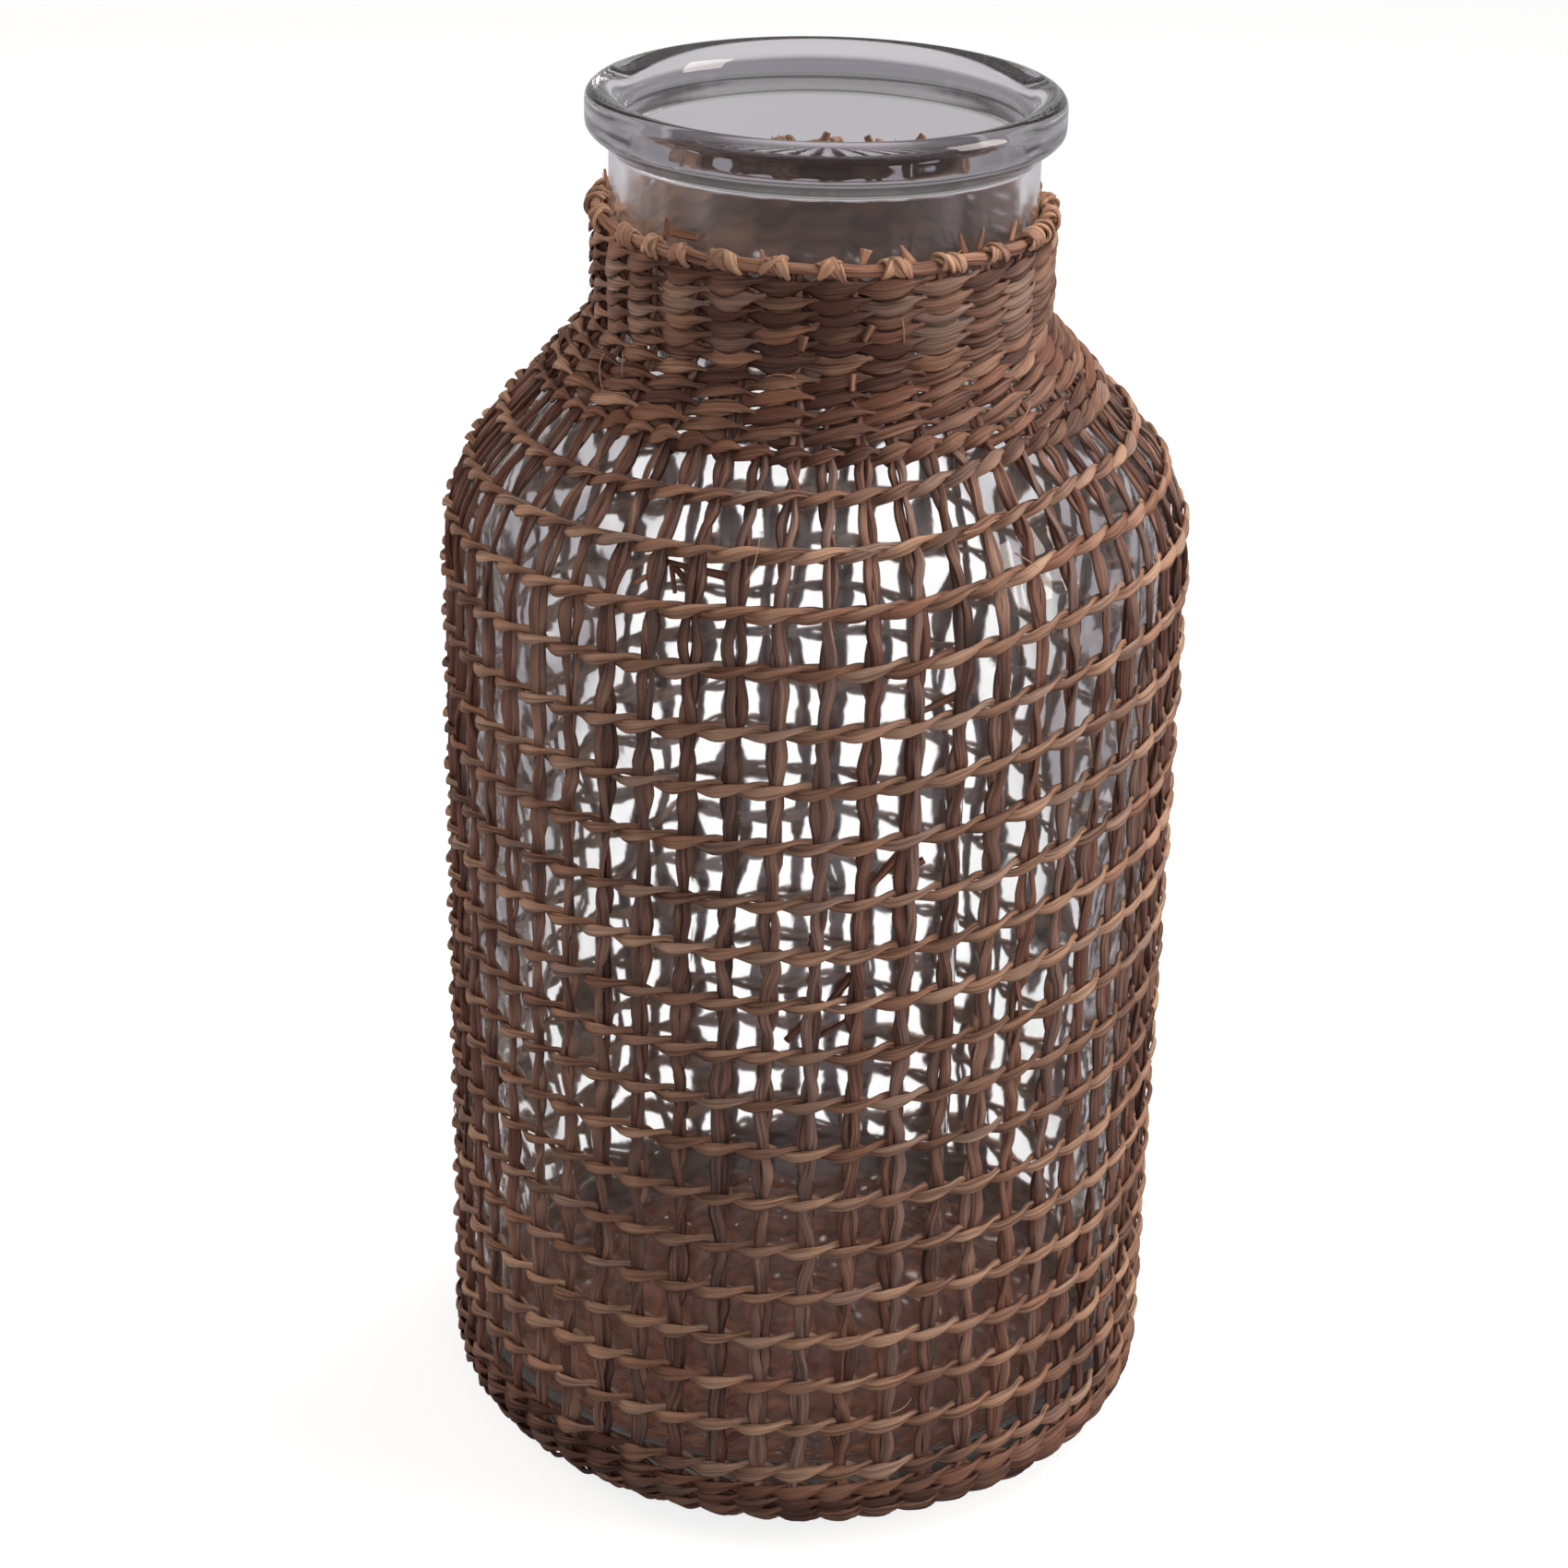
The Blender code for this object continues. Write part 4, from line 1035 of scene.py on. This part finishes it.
studio = {  # places in metres
    "cameraBack": 0.696, "cameraUp": 0.4611, "pitch": 24.42, "roll": 1.28, "yaw": -0.45,
    "focal": 3765.0, "photoWidth": 1700, "sensor": 36, "clipStart": 0.01,
    "lampsAim": (0, 0, 0.15),
    "fill": 0.24,  # the grey that lights the object
    "world": [(0.18, 0.42), (0.32, 0.11), (0.72, 0.11), (0.86, 0.5)],  # greys that glass shows
    "floorGlow": 0.80, "floorShade": 0.30, "bounce": 0.4, "floorReach": 14.0, "floorDown": 0.0001,
    "paperGlow": 1.21,  # makes up for what the glass takes
    # the paper as glass shows it, at places along Y: grey far in front, pale before the object,
    # where it veils what is behind the glass, white behind it and grey further back
    "paper": [(-0.55, "#625a5c"), (-0.43, "#d9d0d9"), (-0.32, "#d9d0d9"), (-0.20, "#6e696d"),
              (-0.02, "#6e696d"), (0.10, "#ffffff"), (0.60, "#ffffff"), (0.80, "#b0adb3")],
    # and behind it to the sides, from X to X, between these fades along Y
    "sidePaper": "#9a959a", "sideFades": (0.055, 0.125), "sideZone": [(0.0, 0.1), (0.8, 0.6)],
}
lamps = {  # place in metres, size, power in watts, colour, and whether the glass mirrors it
    "keyRight": ((1.30, -0.28, 0.70), (0.7, 0.9), 14.5, "#fff4ea", True),
    "rimLeft": ((-1.25, 0.45, 0.70), (0.6, 0.9), 11.5, "#ffeee2", False),
    "front": ((0.1, -1.30, 0.75), (0.8, 0.8), 6.5, "#ffffff", False),
    "top": ((0.55, 0.30, 1.35), (1.0, 0.9), 18.5, "#ffffff", False),
}


def buildCamera():
    lens = bpy.data.cameras.new("photoView")
    lens.sensor_width = studio["sensor"]
    lens.lens = studio["focal"] / studio["photoWidth"] * studio["sensor"]
    lens.clip_start = studio["clipStart"]
    eye = bpy.data.objects.new("photoView", lens)
    bpy.context.collection.objects.link(eye)
    view = Matrix.Translation((0, -studio["cameraBack"], studio["cameraUp"]))
    for axis, degrees in (("Z", -studio["yaw"]), ("X", 90 - studio["pitch"]),
                          ("Z", studio["roll"])):
        view = view @ Matrix.Rotation(math.radians(degrees), 4, axis)
    eye.matrix_world = view
    bpy.context.scene.camera = eye


def buildLamps():
    for name, (place, size, power, colour, mirrored) in lamps.items():
        light = bpy.data.lights.new(name, "AREA")
        light.shape = "RECTANGLE"
        light.size, light.size_y = size
        light.energy = power
        light.color = hexColour(colour)[:3]
        holder = bpy.data.objects.new(name, light)
        holder.visible_transmission = False  # the lamps themselves don't show through the glass
        holder.visible_glossy = mirrored
        bpy.context.collection.objects.link(holder)
        turn = (Vector(studio["lampsAim"]) - Vector(place)).to_track_quat("-Z", "Y")
        holder.matrix_world = Matrix.Translation(place) @ turn.to_matrix().to_4x4()


# Which rays look at the studio: 1 for the camera, 1 for reflections and what shows through glass.
# Light on its way to the straw behind the glass isn't one of them.
def lookingRays(add):
    ray = add("LightPath").outputs
    glassy = add("Math", {"operation": "MAXIMUM"}, i0=ray["Is Glossy Ray"],
                 i1=ray["Is Transmission Ray"])
    direct = add("Math", {"operation": "LESS_THAN"}, i0=ray["Diffuse Depth"], i1=0.5)
    throughGlass = add("Math", {"operation": "MULTIPLY"}, i0=glassy, i1=direct)
    return ray["Is Camera Ray"], throughGlass


# White for the camera. Reflections and what shows through glass find white behind the object and
# grey in front of it, and a dimmer grey lights the object, so that the lamps shape it.
def buildWorld():
    world = bpy.data.worlds.new("whiteStudio")
    add = emptyTree(world)
    camera, throughGlass = lookingRays(add)
    height = add("SeparateXYZ", Vector=add("TexCoord").outputs["Generated"]).outputs["Z"]
    surround = setRamp(add("ValToRGB", Fac=height),
                       [(z, grey(value)) for z, value in studio["world"]])
    fill = add("Background", Color=grey(1), Strength=studio["fill"])
    shown = add("Background", Color=surround, Strength=1.0)
    white = add("Background", Color=grey(1), Strength=1.0)
    glassy = add("MixShader", i0=throughGlass, i1=fill, i2=shown)
    add("OutputWorld", Surface=add("MixShader", i0=camera, i1=glassy, i2=white))
    bpy.context.scene.world = world


# A white paper sweep: its own glow makes it read white, and the rest of its brightness comes from
# the lamps, so the shadow stays. Through glass it has the greys given above.
def buildFloor():
    material = bpy.data.materials.new("white paper sweep")
    add = emptyTree(material)
    camera, throughGlass = lookingRays(add)
    place = add("SeparateXYZ", Vector=add("TexCoord").outputs["Object"]).outputs
    share = add("MapRange", Value=place["Y"], From_Min=-1.0, From_Max=1.0)
    shown = setRamp(add("ValToRGB", Fac=share),
                    [(0.5 + y / 2, hexColour(colour)) for y, colour in studio["paper"]])
    aside = add("Math", {"operation": "ABSOLUTE"}, i0=place["X"])
    start, end = studio["sideFades"]
    zone = add("MapRange", {"interpolation_type": "SMOOTHSTEP"}, Value=aside, From_Min=start,
               From_Max=end)
    for start, end in studio["sideZone"]:
        edge = add("MapRange", Value=place["Y"], From_Min=start, From_Max=end)
        zone = add("Math", {"operation": "MULTIPLY"}, i0=edge, i1=zone)
    tone = add("Mix", {"data_type": "RGBA"}, i0=zone, i6=shown, i7=hexColour(studio["sidePaper"]))
    paper = add("BsdfDiffuse", Color=grey(studio["bounce"]))
    shaded = add("BsdfDiffuse", Color=grey(studio["floorShade"]))
    glow = add("Emission", Color=grey(1), Strength=studio["floorGlow"])
    both = add("AddShader", i0=shaded, i1=glow)
    seen = add("Emission", Color=tone.outputs[2], Strength=studio["paperGlow"])
    glassy = add("MixShader", i0=throughGlass, i1=paper, i2=seen)
    add("OutputMaterial", Surface=add("MixShader", i0=camera, i1=glassy, i2=both))
    r, z = studio["floorReach"], -studio["floorDown"]
    points = np.array([[-r, -r, z], [r, -r, z], [r, r, z], [-r, r, z]])
    floor = makePiece("paper_floor", points, np.arange(4)[None], np.zeros((0, 3), int), material)


def main():
    bpy.context.scene.view_settings.view_transform = "Standard"
    buildCamera()
    buildLamps()
    buildWorld()
    buildFloor()
    print("studio ready")
    buildJar()
    print("jar done")
    weft = drySeagrass("dried seagrass weft", straws["weft"])
    perTurn = weave["stakePairs"]
    openSteps = round(openTurns * perTurn)
    buildRows("twined_base_rows", "base_weft", -baseTurns * perTurn, 0, 3, weft)
    buildRows("twined_open_row", "open_weft", 0, openSteps, 20, weft)
    buildRows("twined_neck_rows", "neck_weft", openSteps, openSteps + round(neckTurns * perTurn), 4,
              weft)
    print("twined rows done")
    stakeStraw = drySeagrass("dried seagrass stakes", straws["stake"])
    for number in range(perTurn):
        buildStakePair(number, stakeStraw)
    print("stakes done")
    buildMat(drySeagrass("dried seagrass base", straws["mat"]))
    buildBorder(drySeagrass("dried seagrass border", straws["border"]))
    buildEnds(weft)
    print("base, border and ends done")
    print("triangles", sum(triangles.values()), "most", max(triangles.values()))


main()
